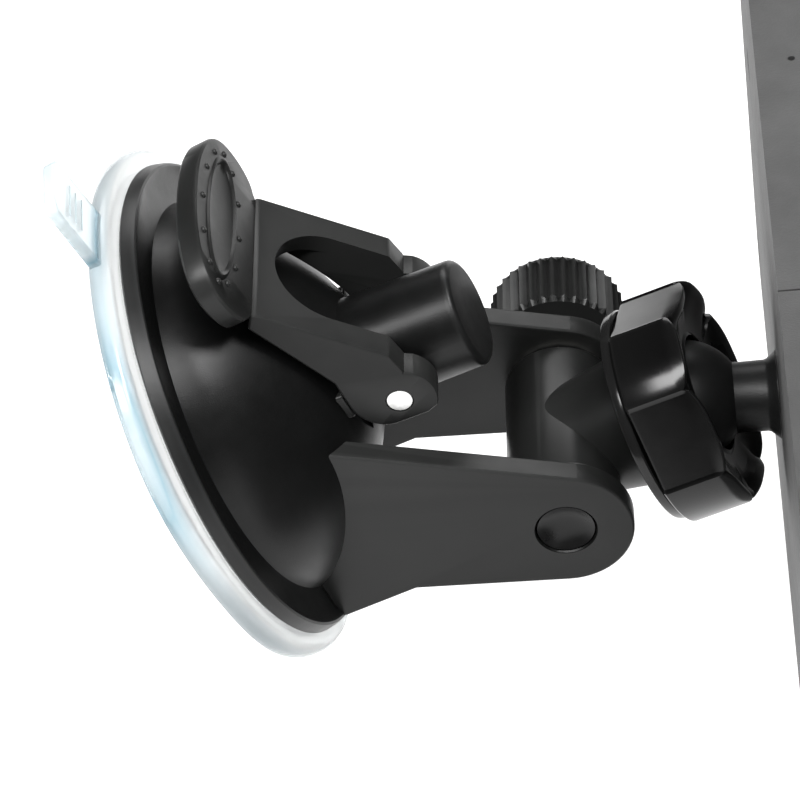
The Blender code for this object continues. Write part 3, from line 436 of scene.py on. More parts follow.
def ramp(tree, value, low, high, start=0.3, end=0.7):
    """Map a value to colours or greys between two ends."""
    node = tree.nodes.new("ShaderNodeValToRGB")
    node.color_ramp.elements[0].position = start
    node.color_ramp.elements[1].position = end
    node.color_ramp.elements[0].color = (*low, 1.0)
    node.color_ramp.elements[1].color = (*high, 1.0)
    tree.links.new(value, node.inputs["Fac"])
    return node.outputs["Color"]


def bump(tree, shader, value, distance):
    """Bump of a height in metres."""
    node = tree.nodes.new("ShaderNodeBump")
    node.inputs["Distance"].default_value = distance
    node.inputs["Strength"].default_value = 1.0
    tree.links.new(value, node.inputs["Height"])
    tree.links.new(node.outputs["Normal"], shader.inputs["Normal"])


def grey(value):
    """Grey colour."""
    return (value, value, value)


def plastic(name, colour, rough, spread, grain, grain_depth, specular=0.5, worn=0.0):
    """Moulded plastic: mottled colour, uneven gloss, spark-eroded grain, worn edges."""
    material, tree, shader = nodes_of(name)
    patches = noise(tree, 90.0, 4.0, 0.6)
    dark = tuple(c * 0.82 for c in colour)
    light = tuple(c * 1.22 for c in colour)
    base = ramp(tree, patches, dark, light)
    if worn:
        geometry = tree.nodes.new("ShaderNodeNewGeometry")
        edge = ramp(tree, geometry.outputs["Pointiness"], grey(0.0), grey(worn), 0.505, 0.56)
        mix = tree.nodes.new("ShaderNodeMix")
        mix.data_type = "RGBA"
        tree.links.new(edge, mix.inputs["Factor"])
        tree.links.new(base, mix.inputs["A"])
        mix.inputs["B"].default_value = (*(min(1.0, c * 5 + 0.05) for c in colour), 1.0)
        base = mix.outputs["Result"]
    tree.links.new(base, shader.inputs["Base Color"])
    gloss = noise(tree, 260.0, 5.0, 0.65)
    tree.links.new(ramp(tree, gloss, grey(rough - spread), grey(rough + spread), 0.25, 0.75),
                   shader.inputs["Roughness"])
    shader.inputs["Specular IOR Level"].default_value = specular
    bump(tree, shader, noise(tree, grain, 2.0, 0.55), grain_depth)
    return material


def metal(name, colour, rough):
    """Turned metal with fine marks."""
    material, tree, shader = nodes_of(name)
    marks = noise(tree, METAL_GRAIN, 3.0, 0.6)
    tree.links.new(ramp(tree, marks, tuple(c * 0.85 for c in colour), colour),
                   shader.inputs["Base Color"])
    tree.links.new(ramp(tree, noise(tree, 600.0), grey(rough - 0.07), grey(rough + 0.07)),
                   shader.inputs["Roughness"])
    shader.inputs["Metallic"].default_value = 1.0
    bump(tree, shader, marks, 0.000004)
    return material


def clear_plastic(name):
    """Soft clear vinyl: nearly white inside, teal at its outer edge, pale on the tab."""
    material, tree, shader = nodes_of(name)
    place = tree.nodes.new("ShaderNodeTexCoord")
    flat = tree.nodes.new("ShaderNodeVectorMath")
    flat.operation = "MULTIPLY"
    flat.inputs[1].default_value = (0.0, 1.0, 1.0)
    tree.links.new(place.outputs["Object"], flat.inputs[0])
    reach = tree.nodes.new("ShaderNodeVectorMath")
    reach.operation = "LENGTH"
    tree.links.new(flat.outputs["Vector"], reach.inputs[0])
    span = tree.nodes.new("ShaderNodeMapRange")
    span.inputs["From Min"].default_value = 35.8 * MM
    span.inputs["From Max"].default_value = 40.6 * MM
    tree.links.new(reach.outputs["Value"], span.inputs["Value"])
    tint = ramp(tree, span.outputs["Result"], (0.96, 0.98, 0.98), (0.30, 0.48, 0.57), 0.0, 0.46)
    tint.node.color_ramp.elements.new(0.78).color = (0.86, 0.93, 0.95, 1.0)
    tree.links.new(tint, shader.inputs["Base Color"])
    tree.links.new(ramp(tree, noise(tree, 160.0, 4.0), grey(0.12), grey(0.20)),
                   shader.inputs["Roughness"])
    film = tree.nodes.new("ShaderNodeMapRange")
    film.inputs["From Min"].default_value = 30.0 * MM
    film.inputs["From Max"].default_value = 34.0 * MM
    tree.links.new(reach.outputs["Value"], film.inputs["Value"])
    tree.links.new(ramp(tree, film.outputs["Result"], grey(0.96), grey(0.62), 0.0, 1.0),
                   shader.inputs["Transmission Weight"])
    shader.inputs["IOR"].default_value = 1.42
    bump(tree, shader, noise(tree, 25.0, 1.0), 0.00004)
    return material


def glass(name, colour, alpha, rough):
    """Coated glass over a dark interior."""
    material, tree, shader = nodes_of(name)
    smear = noise(tree, 45.0, 4.0, 0.6)
    tree.links.new(ramp(tree, smear, colour, tuple(min(1.0, c * 1.3) for c in colour)),
                   shader.inputs["Base Color"])
    tree.links.new(ramp(tree, smear, grey(rough), grey(rough + 0.05)),
                   shader.inputs["Roughness"])
    shader.inputs["Alpha"].default_value = alpha
    shader.inputs["Specular IOR Level"].default_value = 0.6
    bump(tree, shader, smear, 0.00001)
    return material


def circuit(name):
    """Solder mask with tracks and pads."""
    material, tree, shader = nodes_of(name)
    place = tree.nodes.new("ShaderNodeTexCoord")
    bricks = tree.nodes.new("ShaderNodeTexBrick")
    bricks.inputs["Scale"].default_value = 130.0
    bricks.inputs["Mortar Size"].default_value = 0.03
    bricks.inputs["Color1"].default_value = (0.01, 0.10, 0.04, 1.0)
    bricks.inputs["Color2"].default_value = (0.015, 0.15, 0.06, 1.0)
    bricks.inputs["Mortar"].default_value = (0.05, 0.30, 0.12, 1.0)
    turn = tree.nodes.new("ShaderNodeMapping")
    turn.inputs["Rotation"].default_value = (0.0, math.pi / 2, 0.0)
    tree.links.new(place.outputs["Object"], turn.inputs["Vector"])
    tree.links.new(turn.outputs["Vector"], bricks.inputs["Vector"])
    tree.links.new(bricks.outputs["Color"], shader.inputs["Base Color"])
    tree.links.new(ramp(tree, noise(tree, 500.0), grey(0.3), grey(0.5)),
                   shader.inputs["Roughness"])
    bump(tree, shader, bricks.outputs["Fac"], 0.00005)
    return material


# ------------------------------------------------------------- suction cup

def make_clear_pad(material):
    """Clear pad: wavy rim that curls out, seat under the housing, slotted pull tab."""
    section = [(0.0, 0.0), (0.0, 20.0 * MM), (0.0, 33.0 * MM), (0.1 * MM, 35.8 * MM),
               (0.5 * MM, 36.9 * MM), (1.3 * MM, 37.3 * MM), (2.3 * MM, 37.2 * MM),
               (3.0 * MM, 36.7 * MM), (3.3 * MM, 36.0 * MM), (3.25 * MM, 35.0 * MM),
               (3.2 * MM, 33.0 * MM), (3.2 * MM, 28.5 * MM), (1.9 * MM, 25.0 * MM),
               (0.9 * MM, 22.0 * MM), (0.8 * MM, 12.0 * MM), (0.8 * MM, 0.0)]
    bm = bmesh.new()
    rings = []
    for along, radius in section:
        if radius < 1e-7:
            rings.append([bm.verts.new((along, 0.0, 0.0))])
            continue
        ring = []
        for step in range(PAD_STEPS):
            angle = 2 * math.pi * step / PAD_STEPS
            spread = math.exp(-((math.degrees(angle) - 143.0) / 26.0) ** 2)
            wave = 2.1 * spread - 0.6 + 0.15 * math.sin(7 * angle + 2.1)
            share = max(0.0, (radius - 34.5 * MM) / (PAD_RADIUS - 34.5 * MM))
            reach = radius + share * wave * MM
            lift = min(PAD_HEIGHT, max(0.0, along - share * 0.1 * MM * math.sin(7 * angle)))
            ring.append(bm.verts.new((lift, reach * math.cos(angle), reach * math.sin(angle))))
        rings.append(ring)
    join_rings(bm, zip(rings, rings[1:]))
    outline = [(35.2 * MM, -TAB_HALF), (48.2 * MM, -TAB_HALF),
               (49.2 * MM, -TAB_HALF + 1.6 * MM), (49.2 * MM, TAB_HALF - 1.6 * MM),
               (48.2 * MM, TAB_HALF), (35.2 * MM, TAB_HALF)]
    tab = plate(soften(outline, 1.0 * MM, 4), 0.7 * MM, 2.5 * MM, 0.45 * MM, "X")
    slots = []
    for step in range(TAB_SLOTS):
        start = (41.4 + 1.55 * step) * MM
        slots.append(plate(rounded(0.22 * MM, 2.8 * MM, 0.20 * MM, 4,
                                   (start + 0.4 * MM, 0.0)), 0.0, 3.2 * MM, 0.0001 * MM, "X",
                           steps=1))
    tab = carve(tab, slots)
    moved(tab, (0.0, 0.0, 0.0), Matrix.Rotation(TAB_ANGLE, 4, "X"))
    piece("clear_pad", merged(bm, tab), material, "cup", ["suction_pad"], 40.0)


def arm_outline():
    """Side outline of a clevis arm, in (x, z)."""
    centre = (CLEVIS.x, CLEVIS.z)
    points = arc(centre, ARM_END_RADIUS, ARM_BOTTOM - math.pi / 2, ARM_TOP + math.pi / 2, 28)
    top_x, top_z = points[-1]
    root_x = RIM_X + 4.0 * MM
    points.append((root_x, top_z + (root_x - top_x) * math.tan(ARM_TOP)))
    points.append((RIM_X + 1.6 * MM, -4.0 * MM))
    points.append((RIM_X + 1.6 * MM, -29.0 * MM))
    low_x, low_z = points[0]
    kink = RIM_X + 13.2 * MM
    points.append((kink, low_z + (kink - low_x) * math.tan(ARM_BOTTOM)))
    return points


def make_housing(grained, satin):
    """Housing: turned rim, dome and tube, lever seats and two arms."""
    rim = [(RIM_X, 30.9 * MM), (RIM_X, RIM_RADIUS - 0.35 * MM), (RIM_X + 0.35 * MM, RIM_RADIUS),
           (RIM_X + 1.55 * MM, RIM_RADIUS - 0.25 * MM),
           (RIM_X + 2.15 * MM, RIM_RADIUS - 0.55 * MM), (RIM_X + 2.25 * MM, RIM_RADIUS - 0.9 * MM),
           (RIM_X + 2.05 * MM, RIM_RADIUS - 1.3 * MM), (RIM_X + 1.75 * MM, 31.9 * MM),
           (RIM_X + 1.7 * MM, 28.7 * MM), (RIM_X + 1.85 * MM, 28.0 * MM)]
    dome = bow((RIM_X + 2.9 * MM, 27.55 * MM), (RIM_X + 10.2 * MM, 24.3 * MM),
               (RIM_X + 19.0 * MM, 7.75 * MM), 24)
    tube = [(RIM_X + 20.5 * MM, TUBE_RADIUS), (TUBE_END - 1.1 * MM, TUBE_RADIUS - 0.2 * MM)]
    tube += arc((TUBE_END - 1.0 * MM, TUBE_RADIUS - 1.2 * MM), 1.0 * MM, math.pi / 2, 0.0, 5)[1:]
    tube += [(TUBE_END - 0.05 * MM, 3.0 * MM), (TUBE_END - 0.05 * MM, 0.0)]
    inside = [(RIM_X + 13.0 * MM, 0.0), (RIM_X + 13.0 * MM, 8.0 * MM)]
    inside += bow((RIM_X + 13.0 * MM, 8.0 * MM), (RIM_X + 8.6 * MM, 21.6 * MM),
                  (RIM_X + 1.5 * MM, 25.2 * MM), 12)[1:]
    inside += [(RIM_X + 1.0 * MM, 30.9 * MM)]
    shell = turned(rim + dome + tube + inside, 144)
    slot = block((PIN.x - 5.1 * MM, -12.0 * MM, PIN.z - 2.1 * MM),
                 (PIN.x + 2.1 * MM, 12.0 * MM, PIN.z + 2.1 * MM))
    bore = turned([(RIM_X + 10.0 * MM, 0.0), (RIM_X + 10.0 * MM, 3.3 * MM),
                   (TUBE_END - 4.0 * MM, 3.3 * MM), (TUBE_END - 4.0 * MM, 0.0)], 32)
    ear_rooms = [block((PIN.x - 7.0 * MM, y, -8.0 * MM), (PIN.x, y + 5.0 * MM, 9.0 * MM))
                 for y in (-13.0 * MM, 8.0 * MM)]
    shell = carve(shell, [slot, bore] + ear_rooms)
    piece("cup_shell", shell, grained, "cup", ["cup_housing"], 28.0)
    outline = soften(arm_outline(), 0.8 * MM, 3, limit=12.0)
    hollow = [(RIM_X - MM, 0.0), (RIM_X - MM, 30.9 * MM), (RIM_X + MM, 30.9 * MM)]
    hollow += bow((RIM_X + 1.5 * MM, 25.2 * MM), (RIM_X + 8.6 * MM, 21.6 * MM),
                  (RIM_X + 13.0 * MM, 8.0 * MM), 12)
    hollow += [(RIM_X + 13.0 * MM, 0.0)]
    for side, name in ((-1, "arm_near"), (1, "arm_far")):
        inner = side * ARM_INNER
        outer = side * ARM_OUTER
        arm = plate(outline, min(inner, outer), max(inner, outer), 0.35 * MM)
        recess_low = -ARM_OUTER - MM
        recess = moved(turned([(recess_low, 0.0), (recess_low, 4.3 * MM),
                               (-ARM_OUTER + 0.15 * MM, 4.3 * MM),
                               (-ARM_OUTER + 0.4 * MM, 4.15 * MM),
                               (-ARM_OUTER + 1.9 * MM, 4.1 * MM), (-ARM_OUTER + 1.9 * MM, 0.0)],
                              64), CLEVIS, ALONG_Y)
        hole = moved(turned([(-20 * MM, 0.0), (-20 * MM, CLEVIS_BORE),
                             (20 * MM, CLEVIS_BORE), (20 * MM, 0.0)], 48), CLEVIS, ALONG_Y)
        arm = carve(arm, [turned(hollow, 96), hole] + ([recess] if side < 0 else []))
        piece(name, arm, satin, "cup", smooth=25.0)
        low = side * (TUBE_RADIUS - 1.0 * MM)
        high = side * (LEVER_HALF - 0.7 * MM)
        seat = plate(rounded(2.1 * MM, abs(high - low) / 2, 0.5 * MM, 4,
                             (-1.0 * MM, (low + high) / 2)), RIM_X + 8.0 * MM,
                     PIN.x - 6.8 * MM, 0.3 * MM, "Z")
        turn = Matrix(((0, 0, 1, 0), (0, 1, 0, 0), (-1, 0, 0, 0), (0, 0, 0, 1)))
        piece("seat_" + name[4:], moved(seat, (0, 0, 0), turn), satin, "cup")


# ------------------------------------------------------------------- lever

def lever_outline():
    """Side outline of the lever, with its cam, in (x, z)."""
    points = [tuple(CREASE), tuple(PLATE_END), (PLATE_END.x + 0.5 * MM, 3.9 * MM),
              (PIN.x + 2.6 * MM, 3.7 * MM)]
    points += arc((PIN.x + 0.3 * MM, PIN.z), EAR_RADIUS, math.radians(46), math.radians(-36),
                  12)
    points.append((PIN.x + 2.6 * MM, PIN.z - 3.5 * MM))
    rate = CAM_LIFT / (math.pi / 2)
    for step in range(13):
        turn = math.pi / 2 * (1 - step / 12)
        reach = CAM_REACH - rate * turn
        points.append((PIN.x - reach * math.cos(turn) - rate * math.sin(turn),
                       PIN.z - reach * math.sin(turn) + rate * math.cos(turn)))
    points.append((PIN.x - CAM_REACH, 6.0 * MM))
    points.append((CREASE.x - 1.5 * MM, CREASE.y - 2.1 * MM))
    return points


def thumb_reach(angle):
    """Distance from the thumb oval's centre to the pad's outline at an angle."""
    middle = THUMB_MIDDLE
    low, high = 0.0, 30.0 * MM
    for _ in range(40):
        reach = (low + high) / 2
        y = abs(reach * math.cos(angle))
        height = middle + reach * math.sin(angle)
        if height >= THUMB_SHOULDER:
            rise = (height - THUMB_SHOULDER) / (THUMB_HEIGHT - THUMB_SHOULDER)
            within = (y / THUMB_HALF) ** THUMB_ROUNDNESS + rise ** THUMB_ROUNDNESS < 1
        else:
            drop = (THUMB_SHOULDER - height) / THUMB_SHOULDER
            wide = LEVER_HALF + (THUMB_HALF - LEVER_HALF) * math.sqrt(max(0, 1 - drop * drop))
            within = y < wide and height > -0.6 * MM
        if within:
            low = reach
        else:
            high = reach
    return low


def make_thumb():
    """Thumb pad: rounded D with a raised oval line and a ring of pips."""
    bm = bmesh.new()
    steps = 120
    middle = THUMB_MIDDLE
    oval_y, oval_z = 11.7 * MM, 3.2 * MM
    bands = ((-THUMB_DEPTH, 0.92), (-THUMB_DEPTH, 0.97), (-THUMB_DEPTH + 0.4 * MM, 1.0),
             (-0.5 * MM, 1.0), (-0.15 * MM, 0.985), (0.0, 0.955))
    loops = []
    for level, share in bands:
        loop = []
        for step in range(steps):
            angle = 2 * math.pi * step / steps
            reach = thumb_reach(angle) * share
            loop.append((level, reach * math.cos(angle), middle + reach * math.sin(angle)))
        loops.append(loop)
    for scale, level in ((1.075, 0.0), (1.035, 0.22 * MM), (1.0, 0.30 * MM), (0.965, 0.20 * MM),
                         (0.92, -0.12 * MM), (0.8, -0.25 * MM), (0.5, -0.38 * MM),
                         (0.2, -0.42 * MM)):
        loop = []
        for step in range(steps):
            angle = 2 * math.pi * step / steps
            loop.append((level, oval_y * scale * math.cos(angle),
                         middle + oval_z * scale * math.sin(angle)))
        loops.append(loop)
    skin(bm, loops)
    for step in range(THUMB_PIPS):
        angle = 2 * math.pi * step / THUMB_PIPS
        centre = Vector((0.0, 13.3 * MM * math.cos(angle), middle + 4.4 * MM * math.sin(angle)))
        rings = []
        for part in range(4):
            rise = math.pi / 2 * part / 4
            rings.append([centre + Vector((PIP_HEIGHT * math.sin(rise) - 0.1 * MM,
                                           PIP_RADIUS * math.cos(rise) * math.cos(a),
                                           PIP_RADIUS * math.cos(rise) * math.sin(a)))
                          for a in (2 * math.pi * k / 16 for k in range(16))])
        skin(bm, rings)
    return bm


def make_lever(satin):
    """Locking lever: plate with a U slot, cam ears and thumb pad."""
    lever = plate(soften(lever_outline(), 0.7 * MM, 4, limit=14.0), -LEVER_HALF, LEVER_HALF,
                  0.3 * MM)
    run = (PLATE_END - CREASE).normalized()
    normal = Vector((-run.y, run.x))
    if normal.x < 0:
        normal.negate()
    start = CREASE - normal * LEVER_WALL - run * 3 * MM
    end = PLATE_END - normal * LEVER_WALL + run * 22 * MM
    depth = normal * 30 * MM
    pocket = plate([tuple(start), tuple(end), tuple(end - depth), tuple(start - depth)],
                   -LEVER_SLOT, LEVER_SLOT, 0.0001 * MM, steps=1)
    slot = arc((11.5 * MM, 0.0), LEVER_SLOT, 0.5 * math.pi, 1.5 * math.pi, 40)
    slot += [(45 * MM, -LEVER_SLOT), (45 * MM, LEVER_SLOT)]
    window = plate(slot, -6 * MM, 14 * MM, 0.0001 * MM, "Z", steps=1)
    turn = Matrix(((run.x, 0.0, normal.x, CREASE.x), (0.0, 1.0, 0.0, 0.0),
                   (run.y, 0.0, normal.y, CREASE.y), (0.0, 0.0, 0.0, 1.0)))
    bmesh.ops.transform(window, matrix=turn, verts=window.verts)
    room = [(RIM_X, 0.0), (RIM_X, 27.6 * MM)]
    room += bow((RIM_X + 2.9 * MM, 28.1 * MM), (RIM_X + 10.7 * MM, 24.8 * MM),
                (RIM_X + 19.5 * MM, 7.7 * MM), 16)
    room.append((RIM_X + 19.5 * MM, 0.0))
    hole = moved(turned([(-20 * MM, 0.0), (-20 * MM, PIN_HOLE), (20 * MM, PIN_HOLE),
                         (20 * MM, 0.0)], 48), PIN, ALONG_Y)
    lever = carve(lever, [pocket, window, turned(room, 96), hole])
    thumb = make_thumb()
    lean = Matrix.Translation((CREASE.x, 0.0, CREASE.y)) @ Matrix.Rotation(-THUMB_TILT, 4, "Y")
    bmesh.ops.transform(thumb, matrix=lean, verts=thumb.verts)
    piece("locking_lever", merged(lever, thumb), satin, "lever", ["suction_lever"],
          28.0)


def make_pin(steel):
    """Lever pin with burnished ends."""
    profile = [(-PIN_HALF, 0.0)]
    profile += arc((-PIN_HALF + PIN_ROUND, 1.65 * MM), PIN_ROUND, math.pi, math.pi / 2, 4)
    profile += arc((PIN_HALF - PIN_ROUND, 1.65 * MM), PIN_ROUND, math.pi / 2, 0.0, 4)
    profile += [(PIN_HALF, 0.0)]
    pin = moved(turned(profile, 48), PIN, ALONG_Y)
    piece("pin_steel", pin, steel, "pull_rod", ["lever_pin"])


# ------------------------------------------------- clevis, neck, ball joint

def make_bolt(blackened):
    """Dished bolt head that almost fills the near arm's recess."""
    head = -ARM_OUTER + 1.6 * MM
    profile = [(head - 0.15 * MM, 0.0), (head - 0.20 * MM, 1.0 * MM),
               (head - 0.40 * MM, 2.0 * MM), (head - 0.75 * MM, 3.0 * MM),
               (head - 1.20 * MM, 3.75 * MM), (head - 1.28 * MM, 3.9 * MM),
               (head - 1.20 * MM, BOLT_HEAD_RADIUS), (head, BOLT_HEAD_RADIUS),
               (head, 2.5 * MM), (26.0 * MM, 2.5 * MM), (26.0 * MM, 0.0)]
    bolt = moved(turned(profile, 64), CLEVIS, ALONG_Y)
    piece("bolt_head", bolt, blackened, "cup", ["clevis_bolt"])


def make_knob(satin):
    """Knurled knob: hub, ridged grip with chamfered ridge ends, domed cap."""
    start = ARM_OUTER + 0.3 * MM
    teeth_start = start + 3.2 * MM
    teeth_end = teeth_start + KNOB_HEIGHT
    outline_steps = KNOB_TEETH * 6
    loops = []
    levels = ((teeth_start, 0.75, 0.0), (teeth_start + 0.7 * MM, 0.0, 0.9),
              (teeth_start + 1.1 * MM, 0.0, 1.0), (teeth_end - 1.1 * MM, 0.0, 1.0),
              (teeth_end - 0.7 * MM, 0.0, 0.9), (teeth_end, 0.75, 0.0))
    for level, draw, share in levels:
        loop = []
        for step in range(outline_steps):
            angle = 2 * math.pi * step / outline_steps
            crest = 1 - 2 * abs((KNOB_TEETH * step / outline_steps + 0.5) % 1.0 - 0.5) * 2
            radius = KNOB_RADIUS - TOOTH_DEPTH * (1 - crest) * share - draw * MM
            loop.append((level, radius * math.cos(angle), radius * math.sin(angle)))
        loops.append(loop)
    for level, radius in ((teeth_end, 7.6 * MM), (teeth_end - 0.25 * MM, 7.2 * MM),
                          (teeth_end - 0.25 * MM, 3.0 * MM), (teeth_end - 0.25 * MM, 0.5 * MM)):
        loops.append([(level, radius * math.cos(2 * math.pi * k / outline_steps),
                       radius * math.sin(2 * math.pi * k / outline_steps))
                      for k in range(outline_steps)])
    grip = bmesh.new()
    skin(grip, loops)
    hub = turned([(start, 2.9 * MM), (start, 5.95 * MM), (start + 0.25 * MM, HUB_RADIUS),
                  (teeth_start + MM, HUB_RADIUS), (teeth_start + MM, 2.9 * MM)], 64)
    knob = moved(merged(grip, hub), CLEVIS, ALONG_Y)
    piece("knob_grip", knob, satin, "knob", ["clevis_knob"], 24.0)


def make_neck(satin):
    """Barrel between the arms, flared cone and slotted collet."""
    low, high = -BARREL_HALF, BARREL_HALF
    barrel = [(low, CLEVIS_BORE), (low, 7.35 * MM)]
    barrel += arc((low + 0.4 * MM, 7.35 * MM), 0.4 * MM, math.pi, math.pi / 2, 3)[1:]
    barrel += arc((high - 0.4 * MM, 7.35 * MM), 0.4 * MM, math.pi / 2, 0.0, 3)
    barrel += [(high, CLEVIS_BORE)]
    body = moved(turned(barrel, 96), CLEVIS, ALONG_Y)
    cone = [(0.5 * MM, 0.0), (0.5 * MM, 7.64 * MM), (12.6 * MM, 9.65 * MM),
            (13.4 * MM, 10.6 * MM), (19.8 * MM, 10.6 * MM), (20.8 * MM, 9.6 * MM)]
    socket = arc((18.3 * MM, 0.0), 8.8 * MM, math.radians(73), math.pi, 20)
    cone += socket[:-1] + [(9.5 * MM, 0.0)]
    piece("neck_barrel", body, satin, "neck", ["swivel_neck"], 30.0)
    piece("neck_cone", moved(turned(cone, 96), CLEVIS), satin, "neck",
          smooth=30.0)


def nut_radius(angle):
    """Outer radius of the nut at an angle."""
    pitch = 2 * math.pi / NUT_LOBES
    local = (angle - NUT_START) % pitch
    if local <= NUT_SPAN:
        near = min(local, NUT_SPAN - local)
        fall = max(0.0, 1.0 - near / math.radians(1.4))
        return NUT_RADIUS - fall * fall * 0.25 * MM
    gap = pitch - NUT_SPAN
    middle = local - NUT_SPAN - gap / 2
    return (NUT_RADIUS - 0.3 * MM) * math.cos(gap / 2) / math.cos(middle)


def nut_front(angle):
    """How far the nut's rim reaches forward at an angle."""
    pitch = 2 * math.pi / NUT_LOBES
    local = (angle - NUT_START) % pitch
    if local <= NUT_SPAN:
        share = abs(2 * local / NUT_SPAN - 1)
        return (5.6 - 1.3 * share ** 3) * MM
    share = abs(2 * (local - NUT_SPAN) / (pitch - NUT_SPAN) - 1)
    return (5.9 - 0.9 * share ** 3) * MM


def make_nut(gloss):
    """Locking nut: thin rear flange, four round lobes, flats, hollow front."""
    angles = [2 * math.pi * step / NUT_STEPS for step in range(NUT_STEPS)]
    loops = []

    def ring(along, draw=0.0):
        radii = [nut_radius(a) - draw for a in angles]
        loops.append([(along, r * math.cos(a), r * math.sin(a)) for a, r in zip(angles, radii)])

    def front(step_back, draw):
        radii = [nut_radius(a) - draw for a in angles]
        loops.append([(nut_front(a) - step_back, r * math.cos(a), r * math.sin(a))
                      for a, r in zip(angles, radii)])

    def circle(along, radius):
        loops.append([(along, radius * math.cos(a), radius * math.sin(a)) for a in angles])

    for along, radius in ((-5.0, 11.0), (-6.0, 11.2), (-6.0, 14.3), (-5.8, 14.85), (-5.45, 15.0),
                          (-4.6, 15.0), (-4.4, 14.8), (-4.35, 14.5)):
        circle(along * MM, radius * MM)
    ring(-4.3 * MM, 0.8 * MM)
    ring(-4.2 * MM, 0.35 * MM)
    ring(-3.95 * MM, 0.08 * MM)
    ring(-3.6 * MM)
    ring(3.4 * MM)
    front(0.35 * MM, 0.0)
    front(0.12 * MM, 0.08 * MM)
    front(0.0, 0.32 * MM)
    front(0.02 * MM, 0.9 * MM)
    front(0.5 * MM, 1.8 * MM)
    for along, radius in ((4.25, 12.0), (3.75, 10.0), (3.7, 8.9), (3.85, 8.6), (3.9, 8.35),
                          (3.7, 8.3), (2.8, 9.0), (2.0, 10.9)):
        circle(along * MM, radius * MM)
    bm = bmesh.new()
    rings = skin(bm, loops, closed_ends=False)
    join_rings(bm, [(rings[-1], rings[0])])
    piece("nut_grip", moved(bm, BALL), gloss, "nut", ["locking_nut"], 28.0)


def make_ball(grained):
    """Ball with a short stem that flares against the camera."""
    merge = math.asin(STEM_RADIUS / BALL_RADIUS)
    profile = [(-BALL_RADIUS, 0.0)]
    profile += arc((0.0, 0.0), BALL_RADIUS, math.pi, merge, 40)[1:]
    profile += [(7.6 * MM, 4.85 * MM), (11.3 * MM, STEM_RADIUS), (11.7 * MM, 5.05 * MM),
                (12.3 * MM, 5.6 * MM), (12.85 * MM, 6.1 * MM), (12.95 * MM, 6.1 * MM),
                (12.95 * MM, 2.3 * MM), (4.0 * MM, 2.3 * MM)]
    room = arc((0.0, 0.0), 2.5 * MM, math.radians(67), math.pi, 12)
    profile += room[:-1] + [(-2.5 * MM, 0.0)]
    ball = moved(turned(profile, 96), BALL, Matrix.Rotation(TILT, 4, "Y"))
    piece("ball_and_stem", ball, grained, "ball", ["ball_stem"], 30.0)


# ------------------------------------------------------------------ camera

def make_camera(shell, sand, screen_dark):
    """Camera: bevelled copies of the rear cover, bezel, glass and buttons."""
    cover = bevelled(from_node("rear_cover"), 0.45 * MM, 3)
    piece("back_shell", cover, sand, "camera", ["rear_cover"], 30.0)
    bezel = bevelled(from_node("front_bezel"), 0.5 * MM, 3)
    piece("bezel", bezel, shell, "camera", ["front_bezel"], 30.0)
    pane = bevelled(from_node("screen_glass"), 0.25 * MM, 2)
    piece("screen_pane", pane, screen_dark, "camera", ["screen_glass"], 30.0)
    for name in ("power", "menu", "lock"):
        key = bevelled(from_node(name + "_button"), 0.3 * MM, 3)
        piece(name + "_cap", key, shell, name + "_key", [name + "_button"],
              30.0)


# ------------------------------------------------------------------- stage

def make_stage():
    """Pale floor that stands just under the object at rest."""
    floor_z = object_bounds()[0][2] - FLOOR_DROP
    bm = bmesh.new()
    rings = [[bm.verts.new((FLOOR_CENTRE, 0.0, floor_z))]]
    for radius in FLOOR_RADII:
        turns = [2 * math.pi * k / FLOOR_STEPS for k in range(FLOOR_STEPS)]
        rings.append([bm.verts.new((FLOOR_CENTRE + radius * math.cos(a), radius * math.sin(a),
                                    floor_z)) for a in turns])
    join_rings(bm, [(two, one) for one, two in zip(rings, rings[1:])])
    floor = as_object("floor", bm)
    material, tree, shader = nodes_of("pale_floor")
    tree.links.new(ramp(tree, noise(tree, 3.0), grey(0.34), grey(0.37)),
                   shader.inputs["Base Color"])
    shader.inputs["Roughness"].default_value = 0.9
    shader.inputs["Specular IOR Level"].default_value = 0.1
    shader.inputs["Emission Color"].default_value = (1.0, 1.0, 1.0, 1.0)
    shader.inputs["Emission Strength"].default_value = FLOOR_GLOW
    floor.data.materials.append(material)


def soft_light(name, direction, distance, wide, deep, watts):
    """Soft light that faces the object; its width runs level."""
    data = bpy.data.lights.new(name, "AREA")
    data.shape = "RECTANGLE"
    data.size = wide
    data.size_y = deep
    data.energy = watts
    light = bpy.data.objects.new(name, data)
    bpy.context.scene.collection.objects.link(light)
    back = Vector(direction).normalized()
    across = Vector((1.0, 0.0, 0.0)) if abs(back.x) < 0.5 else Vector((0.0, 1.0, 0.0))
    across = (across - back * across.dot(back)).normalized()
    up = back.cross(across)
    turn = Matrix((across, up, back)).transposed()
    light.location = Vector((0.04, 0.0, -0.01)) + back * distance
    light.rotation_euler = turn.to_euler()


def make_lights():
    """Long key light above the front, boxes left and right, panel behind, dim room."""
    soft_light("key", (0.12, -0.40, 0.85), 1.1, 1.05, 0.26, 17.0)
    soft_light("left_strip", (-0.85, -0.10, 0.35), 1.2, 0.5, 0.35, 13.0)
    soft_light("right_box", (0.76, -0.08, 0.62), 1.2, 0.40, 0.36, 12.0)
    soft_light("back_panel", (0.25, 0.76, 0.56), 1.2, 0.9, 0.40, 5.0)
    world = bpy.data.worlds.new("room")
    world.use_nodes = True
    ground = world.node_tree.nodes["Background"]
    ground.inputs["Color"].default_value = (1.0, 1.0, 1.0, 1.0)
    ground.inputs["Strength"].default_value = ROOM_LIGHT
    bpy.context.scene.world = world


